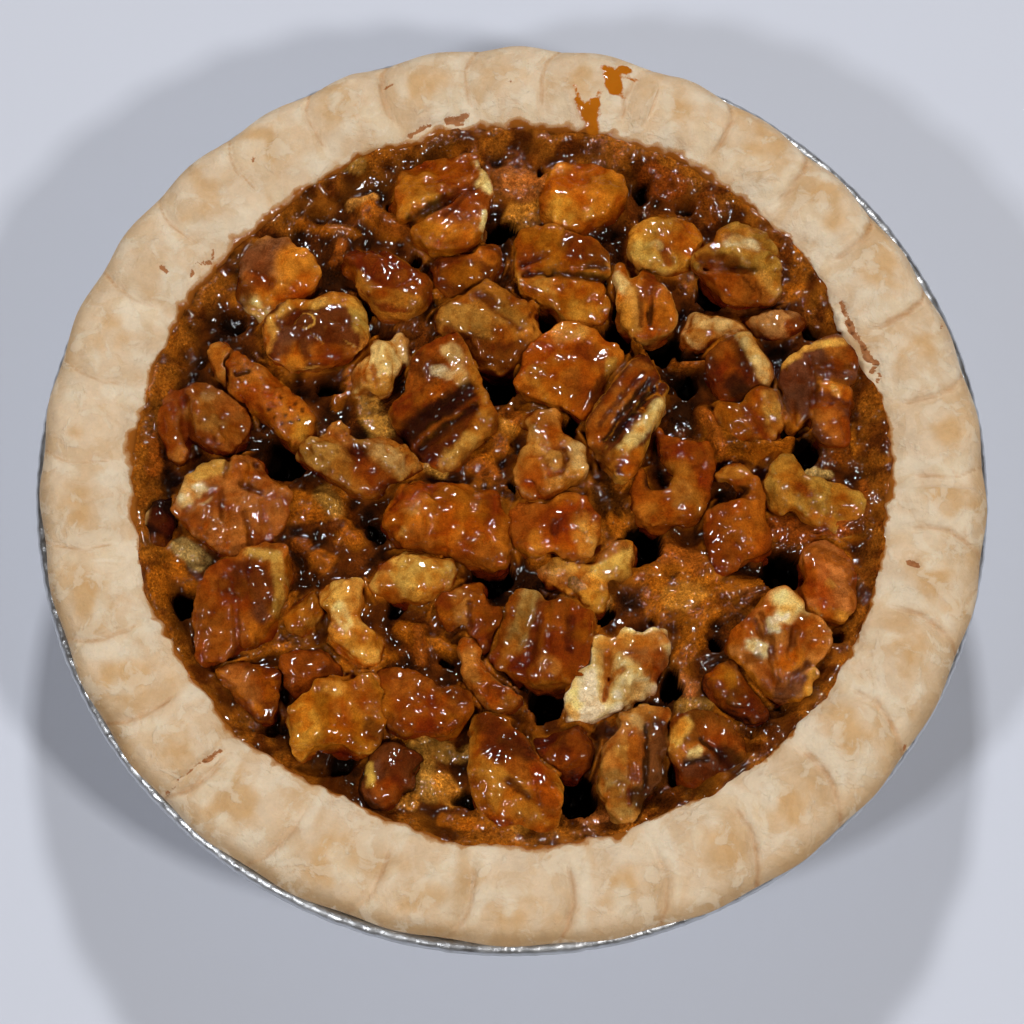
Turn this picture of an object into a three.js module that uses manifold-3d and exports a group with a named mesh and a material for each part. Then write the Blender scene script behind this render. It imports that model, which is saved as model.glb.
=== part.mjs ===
// A small pecan pie in its fluted foil tin. Millimetres, +Z up.
// The origin is the centre of the tin's flat base, and the near side of the pie is towards -Y.

import * as THREE from 'three';
import { mergeVertices } from 'three/addons/utils/BufferGeometryUtils.js';
import Module from 'manifold-3d';

const wasm = await Module();
wasm.setup();

// ---------- driving dimensions ----------

const GAP = 0.3; // clearance that touching pieces keep
const SEGMENTS = 60; // steps round the tin, the crust and the filling

const FOIL = 0.5; // thickness of the foil wall
const TIN_BASE_RADIUS = 44;
const TIN_WALL_TOP_RADIUS = 58.4;
const TIN_WALL_TOP = 24.6;
const FLANGE_RADIUS = 61.4;
const BEAD_RADIUS = 1;
const TIN_RADIUS = 63.4; // over the rolled bead
const FLUTES = 30;
const FLUTE_DEPTH = 1.1;

const CRUST_THICKNESS = 3.2;
const CRUST_EDGE_RADIUS = 62.6; // outer edge of the pastry rim
const CRUST_INNER_RADIUS = 50.4; // where the rim meets the filling
const CRUST_CREST = 30.2; // top of the rim
const CRUST_INNER_TOP = 28.4;
const CRIMPS = 30;
const CRIMP_DEPTH = 1.4;
const EDGE_WAVE = 0.5;

const FILLING_LEVEL = 25.4;
const FILLING_EDGE_LEVEL = 27.9;
const FILLING_FLAT_RADIUS = 45.5; // inside this the syrup lies level between the nuts

// ---------- small helpers ----------

const radians = (degrees) => (degrees * Math.PI) / 180;

const smoothstep = (low, high, value) => THREE.MathUtils.smoothstep(value, low, high);

// A closed indexed geometry as a solid for cutting and joining.
function toSolid(geometry) {
  const bare = geometry.clone();
  bare.deleteAttribute('normal');
  bare.deleteAttribute('uv');
  const merged = mergeVertices(bare, 1e-4);
  return new wasm.Manifold(
    new wasm.Mesh({
      numProp: 3,
      vertProperties: new Float32Array(merged.attributes.position.array),
      triVerts: new Uint32Array(merged.index.array),
    }),
  );
}

function toGeometry(solid) {
  const mesh = solid.getMesh();
  const geometry = new THREE.BufferGeometry();
  geometry.setAttribute('position', new THREE.BufferAttribute(mesh.vertProperties, 3));
  geometry.setIndex(new THREE.BufferAttribute(mesh.triVerts, 1));
  geometry.computeVertexNormals();
  return geometry;
}

// The largest body of a solid, without the loose scraps that a cut can leave.
function largestBody(solid) {
  const bodies = solid.decompose();
  return bodies.reduce((best, body) => (body.volume() > best.volume() ? body : best));
}

// Moves every vertex of a geometry by a function from one Vector3 to another.
function reshape(geometry, change) {
  const position = geometry.attributes.position;
  const point = new THREE.Vector3();
  for (let i = 0; i < position.count; i += 1) {
    point.fromBufferAttribute(position, i);
    change(point);
    position.setXYZ(i, point.x, point.y, point.z);
  }
  return geometry;
}

// Turns an outline of [radius, height] points about the Z axis.
function turned(outline, change) {
  const points = outline.map(([radius, height]) => new THREE.Vector2(radius, height));
  const geometry = new THREE.LatheGeometry(points, SEGMENTS).rotateX(Math.PI / 2);
  reshape(geometry, (point) => change(point, Math.hypot(point.x, point.y), Math.atan2(point.y, point.x)));
  return toSolid(geometry);
}

function setRadius(point, radius, angle) {
  point.x = radius * Math.cos(angle);
  point.y = radius * Math.sin(angle);
}

// +1 on the even steps round the pie and -1 on the odd ones.
function zigzag(angle, waves) {
  return Math.cos(angle * waves);
}

// ---------- foil tin ----------

// Radius of the tin's outer face at a height on its sloping wall.
function tinWallRadius(height) {
  return THREE.MathUtils.mapLinear(height, 0, TIN_WALL_TOP, TIN_BASE_RADIUS, TIN_WALL_TOP_RADIUS);
}

function foilTin() {
  const flangeTop = TIN_WALL_TOP + FOIL;
  const beadCentre = TIN_RADIUS - BEAD_RADIUS;
  const beadHeight = TIN_WALL_TOP + FOIL / 2;
  const bead = [-115, -40, 40, 115].map((degrees) => [
    beadCentre + BEAD_RADIUS * Math.cos(radians(degrees)),
    beadHeight + BEAD_RADIUS * Math.sin(radians(degrees)),
  ]);
  const outline = [
    [0, 0],
    [TIN_BASE_RADIUS - 1, 0],
    [tinWallRadius(1.2), 1.2],
    [tinWallRadius(TIN_WALL_TOP / 2), TIN_WALL_TOP / 2],
    [TIN_WALL_TOP_RADIUS, TIN_WALL_TOP],
    [FLANGE_RADIUS, TIN_WALL_TOP],
    ...bead,
    [FLANGE_RADIUS, flangeTop],
    [TIN_WALL_TOP_RADIUS - FOIL, flangeTop],
    [tinWallRadius(TIN_WALL_TOP / 2) - FOIL, TIN_WALL_TOP / 2 + FOIL / 2],
    [tinWallRadius(1.2) - FOIL - 0.4, 1.2 + FOIL / 2],
    [TIN_BASE_RADIUS - 1.4, FOIL],
    [0, FOIL],
  ];
  return turned(outline, (point, radius, angle) => {
    const onWall = smoothstep(0.8, 4, point.z) * (1 - smoothstep(TIN_WALL_TOP - 3, TIN_WALL_TOP, point.z));
    setRadius(point, radius + 0.5 * FLUTE_DEPTH * onWall * zigzag(angle, FLUTES), angle);
  });
}

// ---------- crust ----------

// How far the rim's inner edge wanders from its mean radius.
function innerEdgeWave(angle) {
  return 0.35 * Math.sin(3 * angle + 0.6) + 0.3 * Math.sin(7 * angle + 2) + 0.25 * Math.sin(13 * angle);
}

// The pastry lines the tin, rolls out over the flange and ends just inside the bead.
// Its rim is pinched down at every even step, the first of them on the +X axis.
function crust() {
  const outside = GAP + FOIL + FLUTE_DEPTH;
  const floor = FOIL + GAP;
  const inside = (height) => tinWallRadius(height) - outside - CRUST_THICKNESS;
  const flangeTop = TIN_WALL_TOP + FOIL + GAP;
  const outline = [
    [0, floor],
    [TIN_BASE_RADIUS - outside - 1.2, floor],
    [tinWallRadius(3) - outside, 3],
    [TIN_WALL_TOP_RADIUS - outside - 0.6, TIN_WALL_TOP - 0.6],
    [TIN_WALL_TOP_RADIUS - 0.6, flangeTop],
    [FLANGE_RADIUS - 0.8, flangeTop],
    [CRUST_EDGE_RADIUS - 0.5, flangeTop + 1.3],
    [CRUST_EDGE_RADIUS, flangeTop + 2.4],
    [CRUST_EDGE_RADIUS - 1.6, CRUST_CREST - 0.9],
    [CRUST_EDGE_RADIUS - 4.8, CRUST_CREST],
    [CRUST_INNER_RADIUS + 3.8, CRUST_CREST - 0.3],
    [CRUST_INNER_RADIUS, CRUST_INNER_TOP],
    [CRUST_INNER_RADIUS + 0.4, FILLING_LEVEL + 0.4],
    [inside(20) - 0.4, 20],
    [inside(5), floor + CRUST_THICKNESS],
    [0, floor + CRUST_THICKNESS],
  ];
  return turned(outline, (point, radius, angle) => {
    const onRim = smoothstep(flangeTop + 0.5, flangeTop + 2, point.z);
    const acrossBand = smoothstep(CRUST_INNER_RADIUS + 1, CRUST_INNER_RADIUS + 3.5, radius);
    const pinch = -zigzag(angle, CRIMPS);
    const crimp = 0.5 * CRIMP_DEPTH * pinch;
    const outerWave = EDGE_WAVE * (Math.sin(5 * angle + 1) + 0.8 * pinch);
    const innerShare = (1 - acrossBand) * smoothstep(18, 24, point.z);
    const outerShare = onRim * smoothstep(CRUST_EDGE_RADIUS - 3, CRUST_EDGE_RADIUS, radius);
    point.z += onRim * acrossBand * crimp * (1 - 0.6 * outerShare);
    const shift = innerShare * innerEdgeWave(angle) + 0.5 * outerShare * outerWave;
    setRadius(point, radius + shift, angle);
  });
}

// ---------- nuts ----------

// Each row: x, y, heading of the long axis in degrees, then length, width and height, the kind and the tone.
// lobes: side-by-side ridges that run along the heading; chunk: an angular broken piece;
// egg: a smooth rounded piece. An earlier row keeps its whole shape where two pieces touch.
const NUTS = [
  { x: -9.0, y: 9.8, heading: 35, size: [15.6, 15.4, 8.5], kind: 'lobes', lobes: 3, tone: 'red' },
  { x: -9.5, y: 40.6, heading: 38, size: [13.5, 16, 8], kind: 'lobes', lobes: 2, tone: 'red' },
  { x: -37.2, y: -4.3, heading: 75, size: [13, 14.5, 8], kind: 'lobes', lobes: 4, tone: 'amber' },
  { x: 34.6, y: -23.8, heading: 60, size: [15, 13, 8.5], kind: 'lobes', lobes: 3, tone: 'amber' },
  { x: 14.6, y: 8.0, heading: 52, size: [18.5, 8.5, 7.5], kind: 'lobes', lobes: 3, tone: 'red' },
  { x: 41.0, y: 11.3, heading: 5, size: [9.5, 15.5, 8], kind: 'lobes', lobes: 4, tone: 'red' },
  { x: -8.3, y: -6.3, heading: -12, size: [17, 11, 8], kind: 'egg', tone: 'amber' },
  { x: 6.8, y: 28.8, heading: -8, size: [12.5, 12.5, 7.5], kind: 'lobes', lobes: 3, tone: 'amber' },
  { x: 8.0, y: 15.5, heading: 10, size: [13, 13, 7.5], kind: 'chunk', tone: 'amber' },
  { x: 13.2, y: -26.6, heading: 30, size: [14, 10.5, 8], kind: 'chunk', tone: 'pale' },
  { x: -31.8, y: 28.8, heading: -25, size: [13, 10, 7.5], kind: 'chunk', tone: 'red' },
  { x: 30.7, y: 30.2, heading: 5, size: [11.5, 12, 8], kind: 'lobes', lobes: 2, tone: 'pale' },
  { x: -35.2, y: -17.5, heading: 95, size: [14.5, 12, 8.5], kind: 'lobes', lobes: 2, tone: 'red' },
  { x: 0.6, y: -40.5, heading: -52, size: [16, 10.5, 8], kind: 'lobes', lobes: 2, tone: 'amber' },
  { x: -20.3, y: 2.0, heading: -42, size: [15.5, 10.5, 7.5], kind: 'lobes', lobes: 2, tone: 'pale' },
  { x: 15.6, y: -39.5, heading: 78, size: [14.5, 8, 8.5], kind: 'lobes', lobes: 2, tone: 'red' },
  { x: -41.0, y: 7.2, heading: 100, size: [11, 12.5, 7], kind: 'lobes', lobes: 2, tone: 'amber' },
  { x: 3.2, y: -21.3, heading: 75, size: [12, 10.5, 8], kind: 'lobes', lobes: 2, tone: 'amber' },
  { x: -3.0, y: 20.8, heading: -30, size: [14, 10.5, 7], kind: 'egg', tone: 'pale' },
  { x: 9.5, y: 40.7, heading: 0, size: [11.5, 10, 7], kind: 'egg', tone: 'amber' },
  { x: 29.0, y: -5.5, heading: 100, size: [14.5, 8.5, 7.5], kind: 'chunk', tone: 'amber' },
  { x: -22.7, y: -32.8, heading: 15, size: [13.5, 10.5, 7.5], kind: 'chunk', tone: 'amber' },
  { x: -11.8, y: -31.0, heading: -28, size: [14, 9.5, 7.5], kind: 'egg', tone: 'red' },
  { x: 24.6, y: -36.2, heading: -30, size: [11.5, 10.5, 7.5], kind: 'lobes', lobes: 3, tone: 'red' },
  { x: -17.5, y: 28.7, heading: -38, size: [15.5, 7, 6.5], kind: 'lobes', lobes: 2, tone: 'red' },
  { x: -32.0, y: 10.2, heading: -37, size: [14.5, 8, 7.5], kind: 'egg', tone: 'amber' },
  { x: 40.0, y: -3.0, heading: -27, size: [14.5, 8, 7], kind: 'chunk', tone: 'pale' },
  { x: 31.8, y: 7.8, heading: 110, size: [11, 9, 6.5], kind: 'egg', tone: 'amber' },
  { x: 41.5, y: -14.3, heading: 98, size: [11, 7.5, 7], kind: 'chunk', tone: 'amber' },
  { x: -13.0, y: -13.7, heading: 10, size: [11.5, 7.5, 7], kind: 'egg', tone: 'pale' },
  { x: 17.7, y: 25.0, heading: 85, size: [10.5, 7.5, 6.5], kind: 'lobes', lobes: 2, tone: 'amber' },
  { x: 20.3, y: 33.3, heading: 5, size: [10, 7.5, 7], kind: 'egg', tone: 'pale' },
  { x: 30.6, y: 15.6, heading: 103, size: [9.5, 8, 7], kind: 'lobes', lobes: 2, tone: 'red' },
  { x: -21.0, y: -19.3, heading: 29, size: [7, 12, 7], kind: 'lobes', lobes: 2, tone: 'pale' },
  { x: 28.8, y: -29.3, heading: -30, size: [10.5, 7.5, 6], kind: 'egg', tone: 'red' },
  { x: -15.8, y: -40.3, heading: 70, size: [10.5, 6.5, 6], kind: 'egg', tone: 'red' },
  { x: -33.7, y: -29.2, heading: -35, size: [9.5, 6.5, 5.5], kind: 'chunk', tone: 'red' },
  { x: -6.3, y: 29.7, heading: 0, size: [9, 7.5, 6], kind: 'chunk', tone: 'amber' },
  { x: -26.2, y: -26.0, heading: -20, size: [8.5, 7, 5.5], kind: 'egg', tone: 'amber' },
  { x: -5.8, y: -18.3, heading: 60, size: [8.5, 7, 6.5], kind: 'lobes', lobes: 2, tone: 'amber' },
  { x: -17.8, y: 15.3, heading: 60, size: [8, 6.5, 6.5], kind: 'chunk', tone: 'pale' },
  { x: 6.6, y: -37.5, heading: -20, size: [7.5, 6, 5], kind: 'chunk', tone: 'amber' },
  { x: 27.3, y: 21.3, heading: 5, size: [8.5, 4.5, 5], kind: 'egg', tone: 'pale' },
  { x: 35.3, y: 21.5, heading: -8, size: [8.5, 3.8, 5], kind: 'egg', tone: 'pale' },
  { x: -27.2, y: -18.3, heading: 80, size: [7, 4.8, 6], kind: 'egg', tone: 'amber' },
  { x: -38.7, y: 15.8, heading: 110, size: [7, 5.5, 5.5], kind: 'chunk', tone: 'amber' },
  { x: -46.7, y: -6.6, heading: 100, size: [7.5, 5, 5], kind: 'egg', tone: 'dark' },
];

// Each row: the arc's centre, the direction it opens to, its radius, sweep, the factor by which the radius
// shrinks along it, and the width and height of the kernel wall.
const CURLS = [
  { x: 5.3, y: 2.6, opens: 165, radius: 3.5, sweep: 300, shrink: 0.75, wall: 3.4, height: 7, tone: 'pale' },
  { x: 21.4, y: -0.5, opens: 178, radius: 4.2, sweep: 235, shrink: 1, wall: 4.2, height: 7.5, tone: 'amber' },
  { x: -27.2, y: 20.2, opens: -35, radius: 4.4, sweep: 240, shrink: 1, wall: 3.4, height: 7.5, tone: 'red' },
  { x: 6.4, y: -6.9, opens: -98, radius: 3.8, sweep: 235, shrink: 1, wall: 3.4, height: 7, tone: 'amber' },
  { x: 9.8, y: -2.4, opens: 82, radius: 10.6, sweep: 72, shrink: 1, wall: 3.8, height: 6, tone: 'pale' },
  { x: -1.2, y: -25.2, opens: 50, radius: 4.8, sweep: 125, shrink: 1, wall: 2.6, height: 5.5, tone: 'amber' },
];

const NUT_RISE = 0.9; // height of a nut's centre over the filling's level
const NUT_TILT = 7; // most that a nut leans, in degrees
const CREASE_DEPTH = 0.36; // share of its thickness that a nut loses in the crease between two lobes
const BOXINESS = 2.6; // exponent of the rounded box, where 2 is an ellipsoid

// Pulls a point on the unit ball out to a rounded box.
function boxy(point) {
  const sum = Math.abs(point.x) ** BOXINESS + Math.abs(point.y) ** BOXINESS + Math.abs(point.z) ** BOXINESS;
  point.multiplyScalar(sum ** (-1 / BOXINESS));
}

// Flattens a chunk on the slanting faces where the kernel broke.
function breakFaces(point, turn) {
  for (const [degrees, lift, reach] of [[20, 0.75, 0.82], [150, 0.6, 0.86], [265, 0.5, 0.84]]) {
    const face = new THREE.Vector3(Math.cos(radians(degrees + turn)), Math.sin(radians(degrees + turn)), lift);
    face.normalize();
    const past = point.dot(face) - reach;
    if (past > 0) {
      point.addScaledVector(face, -past);
    }
  }
}

// Sinks the lines between lobes that lie side by side; each is a meridian of a ball with its poles at +-X.
function creaseBetween(point, lobes) {
  const around = Math.atan2(point.z, -point.y);
  const steps = (around * lobes) / Math.PI;
  const onCrease = around > 0.1 && around < Math.PI - 0.1 && Math.abs(steps - Math.round(steps)) < 0.1;
  if (onCrease) {
    point.y *= 1 - CREASE_DEPTH;
    point.z *= 1 - CREASE_DEPTH;
  }
}

function placeNut(geometry, { x, y, heading }, index) {
  const tilt = radians(NUT_TILT);
  geometry.rotateX(tilt * Math.sin(2.4 * index + 1));
  geometry.rotateY(tilt * Math.cos(3.7 * index));
  geometry.rotateZ(radians(heading));
  geometry.translate(x, y, FILLING_LEVEL + NUT_RISE);
  return geometry;
}

function lumpSolid(nut, index, grow) {
  const [length, width, height] = nut.size;
  const lobes = nut.lobes ?? 1;
  const large = length > 10.6;
  const ball =
    large && nut.kind === 'chunk'
      ? new THREE.IcosahedronGeometry(1, 1)
      : new THREE.SphereGeometry(1, Math.max(8, 4 * lobes), large ? 5 : 4).rotateZ(Math.PI / 2);
  reshape(ball, (point) => {
    if (nut.kind === 'lobes') {
      creaseBetween(point, lobes);
    }
    boxy(point);
    if (nut.kind === 'chunk') {
      breakFaces(point, 40 * index);
    }
    point.x *= length / 2 + grow;
    point.y *= width / 2 + grow;
    point.z *= height / 2 + grow;
  });
  return toSolid(placeNut(ball, nut, index));
}

function curlSolid(curl, index, grow) {
  const half = curl.wall / 2 + grow;
  const steps = Math.max(3, Math.round(curl.sweep / 40));
  const sweep = radians(curl.sweep);
  const from = Math.PI - sweep / 2;
  const along = (share, side) => {
    const angle = from + sweep * share;
    const radius = curl.radius * THREE.MathUtils.lerp(1, curl.shrink, share) + side * half;
    return new THREE.Vector2(radius * Math.cos(angle), radius * Math.sin(angle));
  };
  const tip = (share, sign) => {
    const middle = along(share, 0);
    const angle = from + sweep * share;
    const reach = sign * (0.8 * half + 0.4 * grow);
    return middle.add(new THREE.Vector2(-reach * Math.sin(angle), reach * Math.cos(angle)));
  };
  const shares = Array.from({ length: steps + 1 }, (_, i) => i / steps);
  const outline = [
    ...shares.map((share) => along(share, 1)),
    tip(1, 1),
    ...shares.toReversed().map((share) => along(share, -1)),
    tip(0, -1),
  ];
  const depth = curl.height + 2 * grow;
  const geometry = new THREE.ExtrudeGeometry(new THREE.Shape(outline), { depth, bevelEnabled: false });
  geometry.translate(0, 0, -depth / 2);
  return toSolid(placeNut(geometry, { ...curl, heading: curl.opens }, index));
}

// ---------- filling ----------

// Small nut bits and lumps of set foam that stand out of the syrup: x, y, radius across, height.
const LUMPS = [
  [1, 41.5, 3.1, 2.6], [-18, 36.3, 3.2, 2.6], [10.8, -16.2, 2.8, 2.4], [31.8, -15.5, 3, 2.2],
  [-9.5, -40.7, 4, 2.8], [-42, -11.2, 2.4, 1.8], [-26.8, -4, 4, 2.2], [22, -10.5, 4.6, 2.4],
  [22, -17, 4.6, 2.6], [23.3, -25.5, 3.6, 2.4], [12.6, -4.4, 2.6, 2], [-13, 23, 2.8, 1.8],
  [-25.2, -11.3, 2.1, 2.4], [-21.5, -7.6, 2, 2.4], [41, -8.6, 3.6, 1.8], [-2.6, 2, 3, 2],
  [-12.4, -20.6, 3, 2], [20.5, 41, 3, 1.8], [36.8, 26.6, 3, 1.8], [-43.5, -14.2, 2.8, 1.6],
  [-25.5, 36.5, 3, 1.6], [26.4, 37, 2.8, 1.8],
];

// Deep openings between the nuts: x, y, radius and depth.
const PITS = [
  [-1.8, 35.5, 2, 6], [4.6, 22.6, 2, 6], [-2.2, 13.2, 2.6, 7], [-30, 3, 3, 6], [-3, -13.2, 2.6, 7],
  [14.2, 20.4, 2, 6], [20.2, 18.4, 2.2, 6], [16.8, -8.6, 2.6, 7], [35.6, -12.6, 2.4, 6],
  [38.8, 3.6, 2, 5], [8.6, -42.4, 2.4, 6], [4.4, -30.6, 2.4, 6], [-43, -17.4, 1.8, 5],
  [20.6, -28, 1.8, 6], [27.8, 27, 2.2, 5],
];

// Height of the syrup between the nuts, which climbs to the crust at its edge.
function fillingHeight(x, y) {
  const climb = smoothstep(FILLING_FLAT_RADIUS, CRUST_INNER_RADIUS - GAP, Math.hypot(x, y));
  return THREE.MathUtils.lerp(FILLING_LEVEL, FILLING_EDGE_LEVEL, climb);
}

function ball([x, y, radius], centreHeight, halfHeight, detail) {
  const geometry = new THREE.IcosahedronGeometry(1, detail);
  geometry.scale(radius, radius, halfHeight);
  geometry.rotateZ(x + y);
  geometry.translate(x, y, centreHeight);
  return toSolid(geometry);
}

function fillingBody() {
  const inside = (height) => tinWallRadius(height) - FOIL - FLUTE_DEPTH - CRUST_THICKNESS - 2 * GAP;
  const floor = FOIL + 2 * GAP + CRUST_THICKNESS;
  const edge = CRUST_INNER_RADIUS - GAP;
  const outline = [
    [0, floor],
    [inside(5), floor],
    [inside(20) - 0.4, 20],
    [edge + 0.4, FILLING_LEVEL + 0.2],
    [edge, FILLING_EDGE_LEVEL],
    [FILLING_FLAT_RADIUS, FILLING_LEVEL],
    [0, FILLING_LEVEL],
  ];
  return turned(outline, (point, radius, angle) => {
    const nearEdge = smoothstep(edge - 2, edge, radius) * smoothstep(18, 24, point.z);
    setRadius(point, radius + nearEdge * innerEdgeWave(angle), angle);
  });
}

function filling(pockets) {
  const lumps = LUMPS.map((lump) => ball(lump, fillingHeight(lump[0], lump[1]), lump[3], 0));
  const pits = PITS.map((pit) => ball(pit, fillingHeight(pit[0], pit[1]), pit[3], 0));
  const body = lumps.reduce((whole, lump) => whole.add(lump), fillingBody());
  return largestBody([...pits, ...pockets].reduce((whole, hollow) => whole.subtract(hollow), body));
}

// ---------- materials and assembly ----------

function finish(color, roughness, metalness = 0) {
  return new THREE.MeshStandardMaterial({ color, roughness, metalness });
}

const FOIL_FINISH = finish(0xc4c6ca, 0.3, 0.9);
const PASTRY_FINISH = finish(0xdcbf96, 0.7);
const SYRUP_FINISH = finish(0x6b3410, 0.2);
const NUT_FINISHES = {
  amber: finish(0xa9641f, 0.25),
  red: finish(0x7d3a1c, 0.25),
  pale: finish(0xc49a55, 0.3),
  dark: finish(0x2b1713, 0.25),
};

function piece(name, solid, material) {
  const mesh = new THREE.Mesh(toGeometry(solid), material);
  mesh.name = name;
  return mesh;
}

const toppings = [...CURLS, ...NUTS];

function toppingSolid(topping, index, grow) {
  const make = topping.sweep ? curlSolid : lumpSolid;
  return make(topping, index, grow);
}

// Each nut gives way to the ones before it, and the filling gives way to them all.
const grown = toppings.map((topping, i) => toppingSolid(topping, i, GAP));
const nuts = toppings.map((topping, i) =>
  largestBody(
    grown.slice(0, i).reduce((rest, neighbour) => rest.subtract(neighbour), toppingSolid(topping, i, 0)),
  ),
);

const pie = new THREE.Group();
pie.add(piece('foil_tin', foilTin(), FOIL_FINISH));
pie.add(piece('crust', crust(), PASTRY_FINISH));
pie.add(piece('filling', filling(grown), SYRUP_FINISH));
nuts.forEach((nut, i) => {
  const name = `nut_${String(i + 1).padStart(2, '0')}`;
  pie.add(piece(name, nut, NUT_FINISHES[toppings[i].tone]));
});

export default pie;
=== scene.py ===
"""A small pecan pie in its fluted foil tin: the looks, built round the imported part.

Lengths are millimetres until a mesh is made, when they become metres. Angles are degrees, counted
anticlockwise from +X as seen from above, and the near side of the pie is towards -Y.

Each piece is made as a mesh that carries its colours and a few values at its points. Its material
adds what is finer than the mesh.
"""

import math

import bpy
import numpy as np
from mathutils import Matrix, Vector


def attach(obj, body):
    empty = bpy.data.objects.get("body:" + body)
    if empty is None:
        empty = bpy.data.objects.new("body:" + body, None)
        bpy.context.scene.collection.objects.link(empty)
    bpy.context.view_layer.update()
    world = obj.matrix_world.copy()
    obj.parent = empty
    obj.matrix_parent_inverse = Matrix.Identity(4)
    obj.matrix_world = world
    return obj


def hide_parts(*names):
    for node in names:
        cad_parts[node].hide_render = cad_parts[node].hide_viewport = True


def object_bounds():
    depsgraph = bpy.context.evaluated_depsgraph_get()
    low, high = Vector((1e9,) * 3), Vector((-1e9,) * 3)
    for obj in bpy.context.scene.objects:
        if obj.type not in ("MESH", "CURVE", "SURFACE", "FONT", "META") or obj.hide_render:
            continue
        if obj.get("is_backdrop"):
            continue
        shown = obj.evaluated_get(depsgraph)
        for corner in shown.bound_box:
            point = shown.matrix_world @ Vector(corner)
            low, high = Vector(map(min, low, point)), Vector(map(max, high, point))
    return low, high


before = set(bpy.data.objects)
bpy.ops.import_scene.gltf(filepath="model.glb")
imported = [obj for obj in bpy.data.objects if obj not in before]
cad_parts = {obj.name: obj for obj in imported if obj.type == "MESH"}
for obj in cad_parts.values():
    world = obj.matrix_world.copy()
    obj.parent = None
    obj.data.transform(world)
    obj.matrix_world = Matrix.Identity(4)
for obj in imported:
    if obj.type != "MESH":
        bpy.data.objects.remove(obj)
CAD_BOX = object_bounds()

MM = 0.001

# ---------------------------------------------------------------- sizes shared with the part

GAP = 0.3
FOIL = 0.5
TIN_BASE_RADIUS = 44
TIN_WALL_TOP_RADIUS = 58.4
TIN_WALL_TOP = 24.6
FLANGE_RADIUS = 61.4
BEAD_RADIUS = 1
TIN_RADIUS = 63.4
FLUTES = 30
FLUTE_DEPTH = 1.1

CRUST_THICKNESS = 3.2
CRUST_EDGE_RADIUS = 62.6
CRUST_INNER_RADIUS = 50.4
CRUST_CREST = 30.2
CRUST_INNER_TOP = 28.4
CRIMP_DEPTH = 1.4
EDGE_WAVE = 0.5

FILLING_LEVEL = 25.4
FILLING_EDGE_LEVEL = 27.9
FILLING_FLAT_RADIUS = 45.5

NUT_RISE = 0.9
NUT_TILT = 7
PITCH_STEP = 3.7  # radians that set the tilt of one nut apart from the next one's
ROLL_STEP = 2.4

# ---------------------------------------------------------------- colours

# sRGB, 0 to 255. Nuts and syrup come first, then the pastry and the foil.
PALETTE = {
    "amber": (158, 84, 14),
    "orange": (178, 94, 20),
    "gold": (190, 120, 38),
    "yellow": (204, 150, 68),
    "olive": (172, 120, 46),
    "tan": (202, 136, 58),
    "cream": (224, 180, 112),
    "white": (236, 212, 168),
    "rust": (152, 76, 18),
    "sienna": (166, 92, 36),
    "salmon": (188, 106, 48),
    "pale": (194, 158, 88),
    "brown": (104, 48, 8),
    "red": (128, 56, 12),
    "maroon": (88, 37, 11),
    "purple": (92, 46, 26),
    "dark": (40, 17, 4),
    "black": (14, 6, 2),
    "glaze": (222, 170, 108),
    # Darkens the lower part of a nut: dark syrup with painted shade.
    "deep_glaze_and_shade": (168, 98, 40),
    "caramel": (170, 94, 18),
    "umber": (92, 42, 7),
    "rim": (158, 88, 20),
    "stain": (190, 134, 72),
    "pastry": (227, 200, 166),
    "flour": (237, 221, 194),
    "biscuit": (209, 170, 121),
    "baked": (166, 102, 48),
    "drip": (190, 108, 18),
    "foil": (206, 208, 211),
}


def linear(colour):
    """sRGB from 0 to 255, or a name in the palette, as linear light."""
    value = np.asarray(PALETTE[colour] if isinstance(colour, str) else colour, float) / 255
    return np.where(value <= 0.04045, value / 12.92, ((value + 0.055) / 1.055) ** 2.4)


# ---------------------------------------------------------------- noise and small helpers

SMALLEST_BUBBLE = 0.22  # radius of the smallest bubble in its cell
BUBBLE_SPREAD = 0.42  # and how much larger the largest one is

LATTICE_SIZE = 64
LATTICE = np.random.default_rng(11).random((LATTICE_SIZE,) * 3).astype(np.float32)


def noise(points, scale, seed):
    """Smooth noise from -1 to 1 at an array of points; scale is the size of a blob.

    The seed is any number that no other layer of the same piece has.
    """
    place = np.asarray(points, np.float32) / np.asarray(scale, np.float32)
    place = place + np.array([seed * 7.31, seed * 3.17, seed * 5.71], np.float32)
    cell = np.floor(place).astype(np.int32)
    share = place - cell
    share = share * share * (3 - 2 * share)
    ends = cell % LATTICE_SIZE, (cell + 1) % LATTICE_SIZE
    weights = 1 - share, share
    total = 0
    for i, j, k in np.ndindex(2, 2, 2):
        corner = LATTICE[ends[i][..., 0], ends[j][..., 1], ends[k][..., 2]]
        total = total + corner * (weights[i][..., 0] * weights[j][..., 1] * weights[k][..., 2])
    return total * 2 - 1


def layered(points, *layers, start=0):
    """Layers of noise laid on a start value; each is how strong, how large its blobs are and its seed."""
    total = start
    for strength, scale, seed in layers:
        total = total + strength * noise(points, scale, seed)
    return total


def fractal(points, scale, octaves, seed):
    """Noise with finer noise on it, each octave half the size and half as strong."""
    total = 0
    for octave in range(octaves):
        total = total + noise(points, np.asarray(scale) / 2**octave, seed + 13 * octave) / 2**octave
    return total


def flat_points(x, y, z=0.0):
    """Points at x and y, all at one height or each at its own."""
    return np.stack(np.broadcast_arrays(x, y, z), -1)


def smoothstep(low, high, value):
    """A smooth climb from 0 at the low value to 1 at the high one."""
    share = np.clip((value - low) / (high - low), 0, 1)
    return share * share * (3 - 2 * share)


def bump_at(distance, width):
    """1 at the middle of a stroke and 0 well outside it."""
    return np.exp(-((distance / width) ** 2))


def mix(a, b, share):
    """Colours a turned into colours b by a share at each point."""
    return a + (b - a) * share[..., None]


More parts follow.
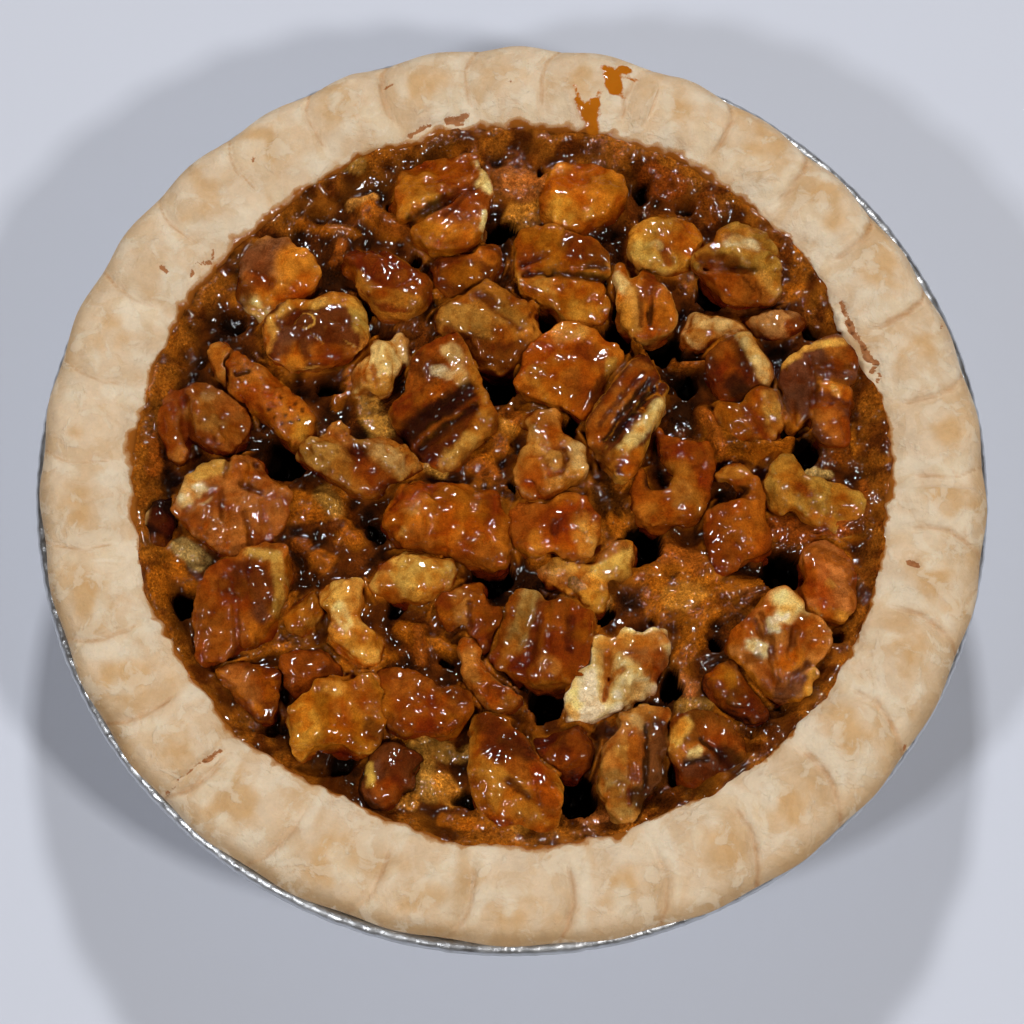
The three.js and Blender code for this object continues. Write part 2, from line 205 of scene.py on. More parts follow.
def smooth_min(a, b, blend):
    """The lesser of two fields, with the edge between them rounded over a blend."""
    share = np.clip(0.5 + 0.5 * (b - a) / blend, 0, 1)
    return b + (a - b) * share - blend * share * (1 - share)


def smooth_max(a, b, blend):
    """The greater of two fields, with the edge between them rounded over a blend."""
    return -smooth_min(-a, -b, blend)


def from_segment(x, y, x1, y1, x2, y2):
    """Distance from points to a line between two points, seen from above."""
    dx, dy = x2 - x1, y2 - y1
    length_squared = max(dx * dx + dy * dy, 1e-9)
    share = np.clip(((x - x1) * dx + (y - y1) * dy) / length_squared, 0, 1)
    return np.hypot(x - x1 - share * dx, y - y1 - share * dy)


def curve_point(a, b, c, d, t):
    """The point at share t of the way from b to c, on a smooth line through a, b, c and d."""
    return 0.5 * (2 * b + (c - a) * t + (2 * a - 5 * b + 4 * c - d) * t**2 + (3 * b - a - 3 * c + d) * t**3)


def strokes(text, shift=0.0):
    """Strokes written as x,y x,y and what else each has, with semicolons between them, moved along y."""
    rows = []
    for words in (row.replace(",", " ").split() for row in text.split(";")):
        x1, y1, x2, y2, *others = (word if word.isalpha() else float(word) for word in words)
        rows.append((x1, round(y1 + shift, 2), x2, round(y2 + shift, 2), *others))
    return rows


def bubbles(x, y, cell, seed, fill):
    """Round bubble pits in a share of a plane's cells: 0 between them and 1 at the bottom of one."""
    random = np.random.default_rng(1000 + seed)
    count = 256  # cells along each side before the pattern comes again
    offsets = random.random((count, count, 2))
    sizes = random.random((count, count))
    column, row = np.floor(x / cell).astype(int), np.floor(y / cell).astype(int)
    deepest = np.zeros(np.shape(x))
    for i in (-1, 0, 1):
        for j in (-1, 0, 1):
            at = (column + i) % count, (row + j) % count
            middle_x = (column + i + offsets[at][..., 0]) * cell
            middle_y = (row + j + offsets[at][..., 1]) * cell
            radius = cell * (SMALLEST_BUBBLE + BUBBLE_SPREAD * sizes[at]) * (sizes[at] < fill)
            inside = 1 - np.hypot(x - middle_x, y - middle_y) / np.maximum(radius, 1e-6)
            deepest = np.maximum(deepest, np.sqrt(np.clip(inside, 0, 1)))
    return deepest


# ---------------------------------------------------------------- meshes


def make_mesh(name, points, faces, tints, **numbers):
    """A smooth-shaded object from points in mm, quads or triangles, colours and values at its points."""
    mesh = bpy.data.meshes.new(name)
    faces = np.asarray(faces, np.int32)
    count, sides = faces.shape
    mesh.vertices.add(len(points))
    mesh.vertices.foreach_set("co", (np.asarray(points, np.float32) * MM).ravel())
    mesh.loops.add(count * sides)
    mesh.loops.foreach_set("vertex_index", faces.ravel())
    mesh.polygons.add(count)
    mesh.polygons.foreach_set("loop_start", np.arange(0, count * sides, sides, dtype=np.int32))
    mesh.polygons.foreach_set("loop_total", np.full(count, sides, np.int32))
    mesh.polygons.foreach_set("use_smooth", np.ones(count, bool))
    mesh.update(calc_edges=True)
    rgba = np.ones((len(points), 4), np.float32)
    rgba[:, :3] = tints
    colour = mesh.attributes.new("tint", "FLOAT_COLOR", "POINT")
    colour.data.foreach_set("color", rgba.ravel())
    for key, values in numbers.items():
        attribute = mesh.attributes.new(key, "FLOAT", "POINT")
        attribute.data.foreach_set("value", np.asarray(values, np.float32))
    piece = bpy.data.objects.new(name, mesh)
    bpy.context.scene.collection.objects.link(piece)
    return piece


def net_points(field, axes, cells):
    """For each cell of a grid, the mean of the places where the surface crosses its edges."""

    def place(corner):
        return np.stack([axes[a][corner[:, a]] for a in range(3)], -1)

    total, hits = np.zeros((len(cells), 3)), np.zeros(len(cells))
    for axis, i, j in np.ndindex(3, 2, 2):
        start = cells.copy()
        start[:, (axis + 1) % 3] += i
        start[:, (axis + 2) % 3] += j
        end = start.copy()
        end[:, axis] += 1
        low, high = field[tuple(start.T)], field[tuple(end.T)]
        crossed = (low < 0) != (high < 0)
        share = low[crossed] / (low[crossed] - high[crossed])
        a, b = place(start[crossed]), place(end[crossed])
        total[crossed] += a + (b - a) * share[:, None]
        hits[crossed] += 1
    return total / hits[:, None]


def net_quads(inside, index):
    """A quad round each crossed edge of a grid, between the points of the four cells beside it."""
    quads = []
    for axis in range(3):
        a, b = (axis + 1) % 3, (axis + 2) % 3
        before, after = [slice(None)] * 3, [slice(None)] * 3
        before[axis], after[axis] = slice(None, -1), slice(1, None)
        starts_inside = inside[tuple(before)]
        edges = np.argwhere(starts_inside != inside[tuple(after)])
        here = starts_inside[tuple(edges.T)]
        step_a, step_b = np.eye(3, dtype=int)[a], np.eye(3, dtype=int)[b]
        around = [edges, edges - step_a, edges - step_a - step_b, edges - step_b]
        quad = np.stack([index[tuple(corner.T)] for corner in around], -1)
        quad[~here] = quad[~here][:, ::-1]
        quads.append(quad)
    return np.concatenate(quads)


def surface_net(field, axes):
    """Points and quads of the surface where a field on a grid is zero, with its inside below zero.

    Each cell that the surface crosses holds one point.
    """
    inside = field < 0
    rows, columns, layers = (count - 1 for count in field.shape)
    corners_inside = np.zeros((rows, columns, layers), np.int8)
    for i, j, k in np.ndindex(2, 2, 2):
        corners_inside += inside[i : i + rows, j : j + columns, k : k + layers]
    crossed = (corners_inside > 0) & (corners_inside < 8)
    index = np.full(crossed.shape, -1, np.int32)
    index[crossed] = np.arange(crossed.sum(), dtype=np.int32)
    return net_points(field, axes, np.argwhere(crossed)), net_quads(inside, index)


def grid_faces(rows, columns, wrap):
    """Quads of a grid of points, closed into a ring along its columns where wrap is true."""
    r = np.arange(rows - 1)[:, None]
    c = np.arange(columns if wrap else columns - 1)[None, :]
    right = (c + 1) % columns
    corners = [r * columns + c, r * columns + right, (r + 1) * columns + right, (r + 1) * columns + c]
    return np.stack(np.broadcast_arrays(*corners), -1).reshape(-1, 4)


# ---------------------------------------------------------------- nuts: where they lie and how they look

# Every nut as it was traced on the photo. Its middle, the heading of its long axis, or the way that a
# curl opens, and its height are shared with the part. Then its kind, which of the part's nut finishes
# it takes, the colours of the skin on top and of the flesh round the sides, and how light its glaze is.
# Its outline is x,y points, joined by a smooth closed line. A mark is a stroke, x,y x,y width depth
# colour: a depth above 0 sinks, below 0 raises, and 0 only tints. A limb is a round-ended bar that
# joins the nut, x,y x,y radius and height over the middle.
# Dark and black marks lie in grooves and hollows, and paint the shade there as well as the dark syrup.
NUTS = {
    "nut_01": dict(
        at=(5.3, 2.6), heading=165, height=7, kind="curl",
        tone="pale", skin="tan", flesh="amber", shade="low",
        outline="""
            0.3,2 1.2,4 2.2,5 2.2,7.5 1.8,9.8 4.5,10.2 6.5,9.2 6.8,7.2 7.8,6.6 9,6 10,4.5 10.2,2.8 9.6,1
            8.3,0.3 7.5,0 6,-1.8 3.5,-2.7 2.3,-2.4 1.2,-0.7 0.2,0.7""",
        marks="""
            5.5,4.9 6.8,4.6 0.35 0.6 rust; 6.8,4.6 7.3,2.9 0.3 0.6 brown; 7.3,2.9 6.4,1.2 0.3 0.6 brown;
            6.4,1.2 5,1 0.3 0.5 rust; 5,1 4.4,2.4 0.3 0.4 rust; 8.8,5 9.2,2 1.2 0 cream;
            4.8,7.6 6.2,6.2 1 0 gold; 2.5,2.5 3,-1 1.7 0 orange; 7.5,0.3 8.8,1 0.8 0 gold""",
        limbs="2.2,8.8 4.6,7.2 1.5 -0.5; 4.6,7.2 7.4,5.2 1.4 0",
    ),
    "nut_02": dict(
        at=(21.4, -0.5), heading=178, height=7.5, kind="curl",
        tone="amber", skin="orange", flesh="amber", shade="dim",
        outline="""
            19.2,5.5 19.6,6.4 22,5.4 25,5 26.6,4 26.6,1.5 26,-1 25.3,-4 23.8,-5.6 21,-6 18.5,-6.3 17,-5.2
            16.2,-3.5 15.9,-1.5 16.5,0.8 17.5,1.5 18,-0.3 18.8,-1.7 20.3,-1.6 21.2,-0.2 21.5,1 20.5,2.2
            19.8,3.6""",
        marks="""
            19.8,4.6 25,3.2 2.2 0 rust; 22,1.5 23.4,-3.5 1.8 -0.3 gold; 22.6,-1 22.3,-2.8 1.1 0 tan;
            17.5,-4.3 19,-4.8 1.5 0 gold; 18.6,2.4 18.4,0 1 0.8 dark""",
    ),
    "nut_03": dict(
        at=(-27.2, 20.2), heading=-35, height=7.5, kind="curl",
        tone="red", skin="maroon", flesh="tan", shade="bright",
        outline="""
            -33.5,20.5 -33.2,22 -31.5,24 -30,25.4 -28,25.6 -26.5,25.2 -25.3,26.5 -23.5,27 -21.5,26.2
            -20.5,24.5 -19.8,22.5 -19.7,20.3 -21,18.5 -23,16.8 -26,16 -29,16.2 -31.5,16.5 -33,18.3""",
        marks="""
            -33,19 -32,22.5 0.9 0 tan; -32,22.5 -29.5,25 0.8 -0.3 tan; -29.5,25.3 -26.5,25.2 0.7 0 gold;
            -26.5,25.4 -24,26.6 0.9 -0.4 tan; -23.5,26.3 -21,25.8 1.1 -0.4 gold;
            -21,25.5 -20,22 1.2 0 olive; -30,18.5 -29,16.5 1.6 0 orange; -25.5,18 -22,17.5 1.6 0 rust;
            -31,22.3 -29,23.7 0.9 0.6 maroon; -29.5,21 -31,19 1.3 0 purple""",
        limbs="-29,21.5 -25,20.5 3.3 -1.2",
    ),
    "nut_04": dict(
        at=(6.4, -6.9), heading=-98, height=7, kind="curl",
        tone="amber", skin="rust", flesh="amber", shade="lit",
        outline="""
            0,-4.3 1.2,-3.2 2.5,-2.8 4.5,-3.5 5.5,-3 6.8,-2 8.3,-1.8 9.6,-2.6 10.3,-4.2 11.2,-5.8 11.2,-8
            10.2,-10 7.5,-10.4 5.5,-9.3 3.5,-10 1.5,-9.3 0.2,-8.5 -0.1,-6.5""",
        marks="""
            9.2,-6 9.8,-8.6 1.6 -0.2 tan; 3.1,-7.4 3.3,-8.6 1 0 gold; 5,-8 7,-8.4 1.2 0 orange;
            5.8,-5.5 5.6,-6.8 0.6 0.6 brown; 2,-4.2 4.2,-3.8 1.6 0 rust; 6.5,-3 9,-2.8 1.2 0 orange""",
        limbs="4.5,-8 8,-8.2 1.4 -0.8",
    ),
    "nut_05": dict(
        at=(9.8, -2.4), heading=82, height=6, kind="curl",
        tone="pale", skin="gold", flesh="amber", shade="lit",
        outline="""
            3,-10.8 5,-10.2 8,-11 10.6,-11.3 12,-10.2 13.5,-8.8 15.2,-8.4 16,-9.5 15.8,-11.5 14.8,-13
            13.3,-13.3 12.2,-14.3 12.6,-15.8 11.7,-17.4 10.8,-17.8 9.5,-16.8 8.5,-15.3 6,-14.3 4,-14.2
            3,-12.8""",
        marks="""
            4,-11.2 9,-12.6 1.3 0 tan; 11.5,-11.8 14.8,-9.4 1.5 0 yellow; 13,-13 15,-12 1 0 olive;
            11,-10.3 14.5,-8.2 0.9 0 rust""",
    ),
    "nut_06": dict(
        at=(-1.2, -25.2), heading=50, height=5.5, kind="curl",
        tone="amber", skin="orange", flesh="tan", shade="dim",
        outline="""
            -5.8,-22.3 -4.8,-22.5 -4.2,-24.5 -3.2,-26 -2,-27.3 -0.3,-28 0.8,-28.8 0.9,-30.2 -0.5,-31.2
            -2.5,-30.5 -4,-29.5 -5,-28.3 -6.3,-27.5 -6.5,-25.5 -5.9,-24""",
        marks="""
            -5.5,-23.5 -5,-27.5 1.1 -0.2 tan; -2.5,-28 -1.5,-28.3 0.8 0.5 amber;
            -0.8,-29.3 0.6,-29.5 0.8 0 gold""",
        limbs="-5.7,-22.5 -5,-27 1.3 0; -4.5,-28 0.5,-29.7 1.4 -0.2",
    ),
    "nut_07": dict(
        at=(-9, 9.8), heading=35, height=8.5, kind="lobes",
        tone="red", skin="rust", flesh="gold", shade="low",
        outline="""
            -16.2,10.4 -14,12.3 -13.7,15.5 -12.3,18.3 -10,19.8 -8,20.4 -6.7,18.7 -5.3,15.8 -3,11.5 -1.6,9
            -3,7 -5.5,5 -8,2.4 -11,2.6 -12.8,4 -15.2,7""",
        marks="""
            -14,8.8 -9,13 2.2 -0.4 rust; -13,17 -11,15.5 1.8 0 brown; -8.3,18.3 -7,16.5 1.1 0 cream;
            -7.4,16.5 -6.6,13.8 1 0 cream; -10,15.3 -8.6,14.6 0.8 -0.2 white;
            -13.8,7.2 -5.5,12.6 1.3 1.1 black; -12,5.2 -5,10.4 0.6 0.9 black; -10.5,5 -4.5,9 1.2 0 brown;
            -11.5,4.2 -8,5.2 0.9 0 maroon; -5.6,17 -3.2,11 0.9 0 gold; -3,10 -5,6.5 1.1 0 gold;
            -5.5,6.3 -8.8,3 1.1 -0.2 yellow; -12,11 -10,12.2 0.8 0 orange""",
    ),
    "nut_08": dict(
        at=(-9.5, 40.6), heading=38, height=8, kind="lobes",
        tone="red", skin="rust", flesh="amber", shade="bright",
        outline="""
            -16.2,40.5 -15.5,43 -15,45 -13.5,46 -12,47 -10.3,48.5 -9,49.3 -6.5,49.5 -5.2,48.5 -4.6,46.8
            -3.8,44.5 -3.3,42.5 -3.1,40.5 -3.6,38 -4,35.5 -4.8,33.7 -7,32.6 -9.5,32.3 -11.5,33 -13.3,34.5
            -13.8,36.3 -15.5,37 -15.9,39""",
        marks="""
            -8,47.5 -5.5,44 3 0 rust; -13,43.5 -11,45 2.5 0 amber; -13.5,39 -11.5,39.5 1.8 0 gold;
            -6.5,38.5 -4.5,40.5 2.4 0 red; -13.5,37.2 -9,40.2 0.8 1.2 dark; -9,40.2 -4,43.3 0.7 1 maroon;
            -9,37.8 -5,42 0.35 0.4 maroon; -9.5,35.3 -6,34.8 1.3 -0.2 orange;
            -4.2,46.5 -3.4,42.5 0.6 0 cream; -4,42.8 -3.2,42 0.8 0 cream; -3.6,38 -3.9,35.8 0.4 0 cream;
            -12.4,36.4 -11,35 1.4 0 amber""",
    ),
    "nut_09": dict(
        at=(-37.2, -4.3), heading=75, height=8, kind="lobes",
        tone="amber", skin="sienna", flesh="amber",
        outline="""
            -44.3,-2 -43.5,-0.3 -41.5,1.3 -39.5,2.2 -37.5,2.6 -36,3.2 -34.8,3.6 -33.3,2.8 -32.5,1 -31.5,0
            -30,-0.5 -29.3,-2.5 -30,-5 -30.8,-6.5 -32,-8 -34,-9.5 -36,-10 -38.5,-9.8 -40.5,-8.5 -42.5,-7
            -43.8,-5 -44.2,-3.8""",
        marks="""
            -43.5,-1 -42.6,-3 1.3 0 white; -42,-1 -40.5,-2.2 1.2 0 white; -42,0.6 -38.5,2 1.3 0 yellow;
            -38.7,-1.3 -43,-4.6 0.35 0.5 rust; -39.6,-3.6 -40.6,-9 0.3 0.35 rust;
            -38.2,-1.5 -38,-5 0.35 0.5 brown; -37,-3.5 -37.6,-9.6 0.3 0.3 rust;
            -35,-4 -34.2,-9.6 0.35 0.5 brown; -33,-3 -31.6,-8 0.3 0.3 rust; -38,0.3 -37.5,3 0.3 0.5 brown;
            -35.2,-0.4 -34,2.6 0.45 0.7 brown; -33.2,-1.5 -35.5,-0.6 0.4 0.6 brown;
            -37,0.5 -36.2,2.5 0.7 -0.2 rust; -34.6,1.8 -34.8,0.5 0.7 -0.1 orange""",
    ),
    "nut_10": dict(
        at=(34.6, -23.8), heading=60, height=8.5, kind="lobes",
        tone="amber", skin="sienna", flesh="amber", shade="bright",
        outline="""
            28.2,-22.5 28.6,-21 29.3,-19.8 31,-18.5 32.5,-17.3 33.5,-16 35,-15.3 36.8,-15.9 38,-17.2
            37.6,-18.6 39.2,-18.9 40.5,-20 41,-21.5 40.5,-23.5 39.5,-25.3 39.6,-27 38.5,-28.8 36.5,-29.5
            34,-29.5 32,-28 30.5,-26 29.3,-24.3""",
        marks="""
            35,-16.2 37.3,-18 1.4 0 cream; 34.8,-18.5 35.8,-19 0.8 0 white;
            33.6,-19.3 34,-20.2 0.7 0 white; 31.2,-22.3 32.3,-23.2 0.9 0 white;
            30.3,-24.2 31.8,-24.2 0.6 0.5 brown; 32.5,-18 33.6,-22.5 0.4 0.6 brown;
            31.5,-19 32.5,-21.5 0.35 0.5 brown; 36.6,-20.5 36,-24 0.6 1 maroon;
            33.5,-23.3 34.2,-27.3 0.5 0.9 maroon; 38,-19.5 39.5,-22 1.7 -0.4 rust;
            35,-25 36.8,-24 1.3 -0.2 orange; 32,-25.5 33.3,-27.5 1 -0.2 red;
            34.5,-28.8 38,-27 0.9 0.3 purple; 36,-27 38.2,-24.8 0.4 0.6 maroon;
            39.3,-26 38.3,-28.2 0.8 0 gold; 29,-21 30.2,-20 1.3 0 orange""",
    ),
    "nut_11": dict(
        at=(14.6, 8), heading=52, height=7.5, kind="lobes",
        tone="red", skin="maroon", flesh="gold", shade="bright",
        outline="""
            9.8,7.3 10.2,5.5 11.5,4 13,1.5 14.5,0.2 16,0.7 17,2.8 17.8,5.2 19,8 20.2,10.5 20.8,13
            19.5,15.5 18,17.5 16.5,17.8 15,16 13.2,13 11.5,10.2 10,8.5""",
        marks="""
            10.6,6.2 17.3,15.8 1.6 -0.2 rust; 12.3,6 18.3,14.6 0.35 0.5 black;
            13.3,5.8 19,13.6 0.35 0.5 black; 11.6,8 17.4,15.6 0.3 0.4 maroon;
            14.8,4.2 20,11 0.9 -0.5 cream; 13.2,3 14.8,3.6 0.9 0 gold; 15.5,1.5 17,3.5 1.2 0 orange;
            10.6,4.5 12.8,3.3 0.9 0 brown""",
    ),
    # Its small tan mark on the middle ridge is a painted highlight.
    "nut_12": dict(
        at=(41, 11.3), heading=5, height=8, kind="lobes",
        tone="red", skin="purple", flesh="brown", shade="bright",
        outline="""
            36,15.8 37,16.8 38.5,17.8 41,19.3 44,19.3 45.7,17.5 46,15 45.3,13 45.3,10.5 45,7.5 44.7,5.3
            43,4.9 41.3,5.6 40.3,6.8 39.5,8.3 38.3,7.3 36.8,7 36.2,8.5 36.3,10.5 35.8,13""",
        marks="""
            43,18.2 44.5,17 1.5 0 rust; 41,13.2 44.5,12.4 1 -0.3 orange; 42.6,12.4 43.2,12.2 0.5 0 tan;
            40.5,16 45.3,15.6 0.3 0.35 brown; 40.6,14 45.2,13.6 0.3 0.3 brown;
            40.5,11.1 45.4,10.6 0.3 0.4 brown; 39.9,17 40.2,12.5 0.35 0.6 maroon;
            40.2,12.5 39.6,8.5 0.35 0.7 maroon; 41.5,9.5 44,6.5 2 0 rust; 36.4,17 39,18.8 0.6 -0.2 tan;
            39,18.8 44.5,19.2 0.5 0 tan; 37.2,9 38.2,7.5 1 0 amber; 37.5,12.5 38.8,10 0.9 0 purple""",
    ),
    "nut_13": dict(
        at=(-8.3, -6.3), heading=-12, height=8, kind="egg",
        tone="amber", skin="orange", flesh="amber",
        outline="""
            -16.9,-5 -15.8,-3 -14.2,-0.8 -10.5,-0.2 -7,-0.3 -4.5,-1 -2,-1.2 -1.2,-2.8 -0.8,-4.5 -0.1,-6
            0.1,-8.5 -0.2,-11 -2,-12.3 -4.5,-11.6 -7.5,-10.6 -11,-9.7 -13.8,-9.3 -15.8,-7.8 -16.9,-6.2""",
        marks="""
            -14,-3.8 -13,-4 1 -0.2 tan; -14.2,-7.2 -13.5,-7.5 0.7 0 tan; -12.5,-7.6 -11,-8.5 1.6 0 rust;
            -9,-3 -4,-3.6 2.2 0 amber; -6,-9.5 -3,-10 1.8 0 rust; -4,-2 -2.6,-4.5 1.5 0.1 amber""",
    ),
    "nut_14": dict(
        at=(6.8, 28.8), heading=-8, height=7.5, kind="lobes",
        tone="amber", skin="amber", flesh="gold", shade="lit",
        outline="""
            0.2,30 0.5,32.5 0.8,35 2.5,36.2 5,36 7,35.3 9.5,34.8 11.5,34 12.8,32 12.9,29.5 12.6,27.5 13,25
            12.6,23 10.8,22.5 8.5,22.8 6.5,23.8 5,24.8 3,25.6 1.3,27.2""",
        marks="""
            1.2,31.2 4.6,32.2 0.4 0.8 maroon; 7.5,30.8 12.3,30.9 0.5 0.9 dark;
            1.5,29.8 5,29.6 0.5 0.9 dark; 5,29.6 12.8,29.2 0.55 0.9 dark; 5,31.2 9,31.6 1.3 -0.3 amber;
            0.8,29.2 3.5,26.8 1.1 0 gold; 3.5,28.6 5.5,27.4 1 0 yellow; 6.5,27.8 11,27.6 1.5 -0.2 orange;
            9,24.6 12.3,24.2 1.4 -0.3 gold; 8,33.5 11.5,32.5 1.8 0 brown; 2,34 5,33.5 1.4 0 amber""",
    ),
    "nut_15": dict(
        at=(8, 15.5), heading=10, height=7.5, kind="chunk",
        tone="amber", skin="orange", flesh="amber",
        outline="""
            1,15 2.2,17.5 3.8,19.5 5.5,21 6.5,22.3 8.5,22.6 10.5,21.5 12.5,20 14.5,18.5 15,16.8 14,14.5
            12.5,12 11,9.5 9.8,8.7 7.5,10 5,11 2.2,12.2 1.1,13.5""",
        marks="""
            9.5,18.6 12.3,17 1.4 0.1 red; 8.2,14.5 9.5,12 1.4 0 rust; 12.5,14.5 11,12 0.8 0.1 maroon;
            13.3,17 13.5,13.5 0.8 0 olive; 6.5,21 9,21.5 1.4 0 tan; 3,15 6,12.2 1.5 0 gold""",
    ),
    "nut_16": dict(
        at=(13.2, -26.6), heading=30, height=8, kind="chunk",
        tone="pale", skin="cream", flesh="white", shade="lit",
        outline="""
            6.6,-31.2 7.3,-29.8 8,-28.5 8.5,-26.5 10,-25.6 10.5,-23.5 10.6,-21.8 12,-21.2 13.8,-21.3
            14.8,-20.3 16.5,-21 18,-20.5 20,-20.3 20.3,-22.5 20,-25 18.8,-27 17.5,-28.5 16,-29.5
            15.3,-30.8 13,-31.2 10.5,-32.3 8.2,-32.5 7,-32.2""",
        marks="""
            10,-26.8 10.4,-29.2 1.6 -0.2 white; 8.3,-31.6 14.5,-30 0.9 -0.2 white;
            13.8,-25 15.4,-28 0.9 -0.2 white; 14,-28.3 17.3,-27.8 1.1 0 white;
            12.3,-23.2 12.4,-26.5 0.5 0.9 gold; 12.6,-26.5 11.8,-29.3 0.35 0.8 amber;
            12.8,-26.6 14.5,-25.5 0.3 0.5 gold; 16,-22.5 18.5,-24 2 0.1 rust;
            16.6,-21.8 19.5,-21 1 0 orange; 11,-21.6 14.5,-21.4 1.2 0 tan; 17.8,-25.5 19,-26 1 0 orange;
            7,-30.5 8.2,-31.2 0.6 0 tan""",
    ),
    "nut_17": dict(
        at=(-31.8, 28.8), heading=-25, height=7.5, kind="chunk",
        tone="red", skin="sienna", flesh="amber", shade="full",
        outline="""
            -38,29 -37,31 -35.5,33.5 -33,34.5 -30,33.5 -28.5,32 -27,31.3 -26.3,29.3 -26.8,27.5 -28,26
            -29.5,25.3 -31,24.5 -33,23 -34.8,24.3 -36.5,26 -37.8,27.3""",
        marks="""
            -35,31.5 -32,32.5 3.2 0 purple; -29,31 -27.5,28 3 -0.3 orange;
            -34.5,26 -31.5,27 1.6 -0.3 orange; -36,26 -33,22.8 1.5 0 cream; -38,29 -36.5,27 1.5 0 brown;
            -35.5,29.5 -32.5,28.2 0.7 0.5 red""",
    ),
    "nut_18": dict(
        at=(30.7, 30.2), heading=5, height=8, kind="lobes",
        tone="pale", skin="olive", flesh="amber",
        outline="""
            24.6,30.5 25.5,32.5 27,34 28.5,35.8 30.8,36.8 33,36.3 34.8,35 35.8,33 36.3,31 36.5,28.5
            36,26.5 34.5,25.3 32,25.2 30,25.5 28,27 26.2,28.7""",
        marks="""
            29.5,34.3 32.5,33.6 1.1 -0.1 white; 30,32.2 33,31.4 1.3 0 olive;
            25.8,31.4 30,31.2 0.9 0.3 brown; 26,30.3 33,30 0.5 1 dark; 27,28.8 31,27 2.2 0 rust;
            31.8,28.5 34,26.5 1.6 0 rust; 31.3,28.8 32.5,27.2 0.2 0.3 brown;
            32.8,28.3 33.5,26.2 0.2 0.3 brown; 33.5,29.3 35.5,27.5 0.8 0 tan;
            27.5,34 28.5,35.5 1.2 0 amber; 30.5,36.4 32,35.8 0.7 0 tan""",
    ),
    "nut_19": dict(
        at=(-35.2, -17.5), heading=95, height=8.5, kind="lobes",
        tone="red", skin="rust", flesh="amber",
        outline="""
            -40.8,-14 -39.8,-12.5 -38,-11.2 -36,-10.8 -34.5,-9.8 -32,-9.2 -30,-9.4 -29.3,-11 -29.5,-13.5
            -30,-16 -30.2,-19 -31,-21.5 -33,-22.3 -35,-22.8 -37,-24 -39,-24 -40.5,-24.5 -41.2,-22
            -41.4,-19 -41,-16.5""",
        marks="""
            -38.2,-11.8 -35.5,-12.6 1.5 0 red; -34.5,-12.8 -31.5,-15.5 2 0 maroon;
            -37.5,-14.5 -35,-15 1.3 0 brown; -38.8,-18 -38.5,-22 1.9 0 rust;
            -36,-16.5 -35.6,-23 0.5 0.9 red; -33,-17.5 -32.5,-18.5 1 0 purple;
            -33,-20.5 -32,-21.5 1.3 0 orange; -34,-9.9 -31,-10.4 0.8 -0.2 yellow;
            -30.8,-10.6 -30.1,-13.5 0.8 -0.1 yellow; -30.2,-14 -30.4,-18 0.6 0 olive""",
    ),
    "nut_20": dict(
        at=(0.6, -40.5), heading=-52, height=8, kind="lobes",
        tone="amber", skin="amber", flesh="gold",
        outline="""
            -4.8,-32.8 -3,-31.8 -1,-32.5 0.5,-34 2,-35.5 3.2,-37.5 4.5,-39.3 6,-41 6.3,-43.5 5.8,-46
            3.8,-47.3 1,-47.5 -1.5,-46.5 -3.5,-45 -5,-43 -5.3,-40.5 -5.5,-38 -5,-35.5""",
        marks="""
            -3,-32.8 -1,-34.5 1.8 0 brown; 0,-35.5 1.8,-36.5 1.5 0.2 maroon;
            -3,-36 -1.5,-37.5 1.2 0 brown; -4,-38.2 0,-41 1.3 -0.2 gold; -1.5,-42 2.5,-44.8 1.6 -0.2 gold;
            -0.5,-40.3 2,-42.2 0.4 0.6 brown; 3.2,-40.6 5,-42.3 1.3 -0.2 orange;
            4.2,-43 5,-43.6 1.2 0 rust; 0,-38.5 3,-39.5 1.3 0 rust; 1,-45.8 4,-45.6 0.9 0 gold""",
    ),
    "nut_21": dict(
        at=(-20.3, 2), heading=-42, height=7.5, kind="lobes",
        tone="pale", skin="yellow", flesh="rust", shade="dim",
        outline="""
            -28,4 -27,5.2 -25,6 -24,8 -22.8,8.3 -21.2,6.5 -20,5.5 -18.5,5.7 -16,5.3 -13.8,4.8 -12.6,3
            -13.2,1.3 -15,0.6 -17,-0.5 -18.5,-1.6 -20.5,-1.5 -22.5,-0.3 -24.5,0.8 -26.5,2.2""",
        marks="""
            -25.5,4.2 -24,2.8 1.5 -0.2 yellow; -23,1.5 -19,-1 1.3 -0.3 gold; -22.5,6.5 -20,3 1 0.7 red;
            -20.8,4.5 -19.5,4.2 0.9 0.5 maroon; -17.8,4.8 -15.2,2.6 1.4 -0.3 cream;
            -19.5,2 -16.5,-0.2 1.5 0 rust; -23.6,7.4 -22.8,6 1 0 tan""",
    ),
    "nut_22": dict(
        at=(15.6, -39.5), heading=78, height=8.5, kind="lobes",
        tone="red", skin="tan", flesh="yellow", shade="dim",
        outline="""
            14,-32 16,-31.6 18.5,-31.8 20,-31.6 20,-34 19.6,-36.5 19,-39 18.3,-41.5 17,-43.5 15.5,-45
            13.8,-45.4 12.3,-44.3 11.4,-42 11.4,-39.5 12.2,-37 13.2,-35 14.2,-33.7""",
        marks="""
            13.2,-40.5 14.2,-43.5 1.5 0 pale; 13.8,-36.5 14.8,-38.3 0.8 0 yellow;
            15.8,-32.4 16.8,-34 0.8 0 cream; 16.8,-34.5 16,-40 0.7 0 rust;
            15.6,-34 15.2,-38.5 0.6 0 orange; 19,-33.5 18,-41 1.5 0.1 purple;
            17.2,-33 17,-41 0.3 0.6 dark; 15.2,-38.5 15,-43 0.3 0.4 amber; 16,-42 17.5,-43.5 1.2 0.2 dark""",
    ),
    "nut_23": dict(
        at=(-41, 7.2), heading=100, height=7, kind="lobes",
        tone="amber", skin="tan", flesh="amber", shade="dark",
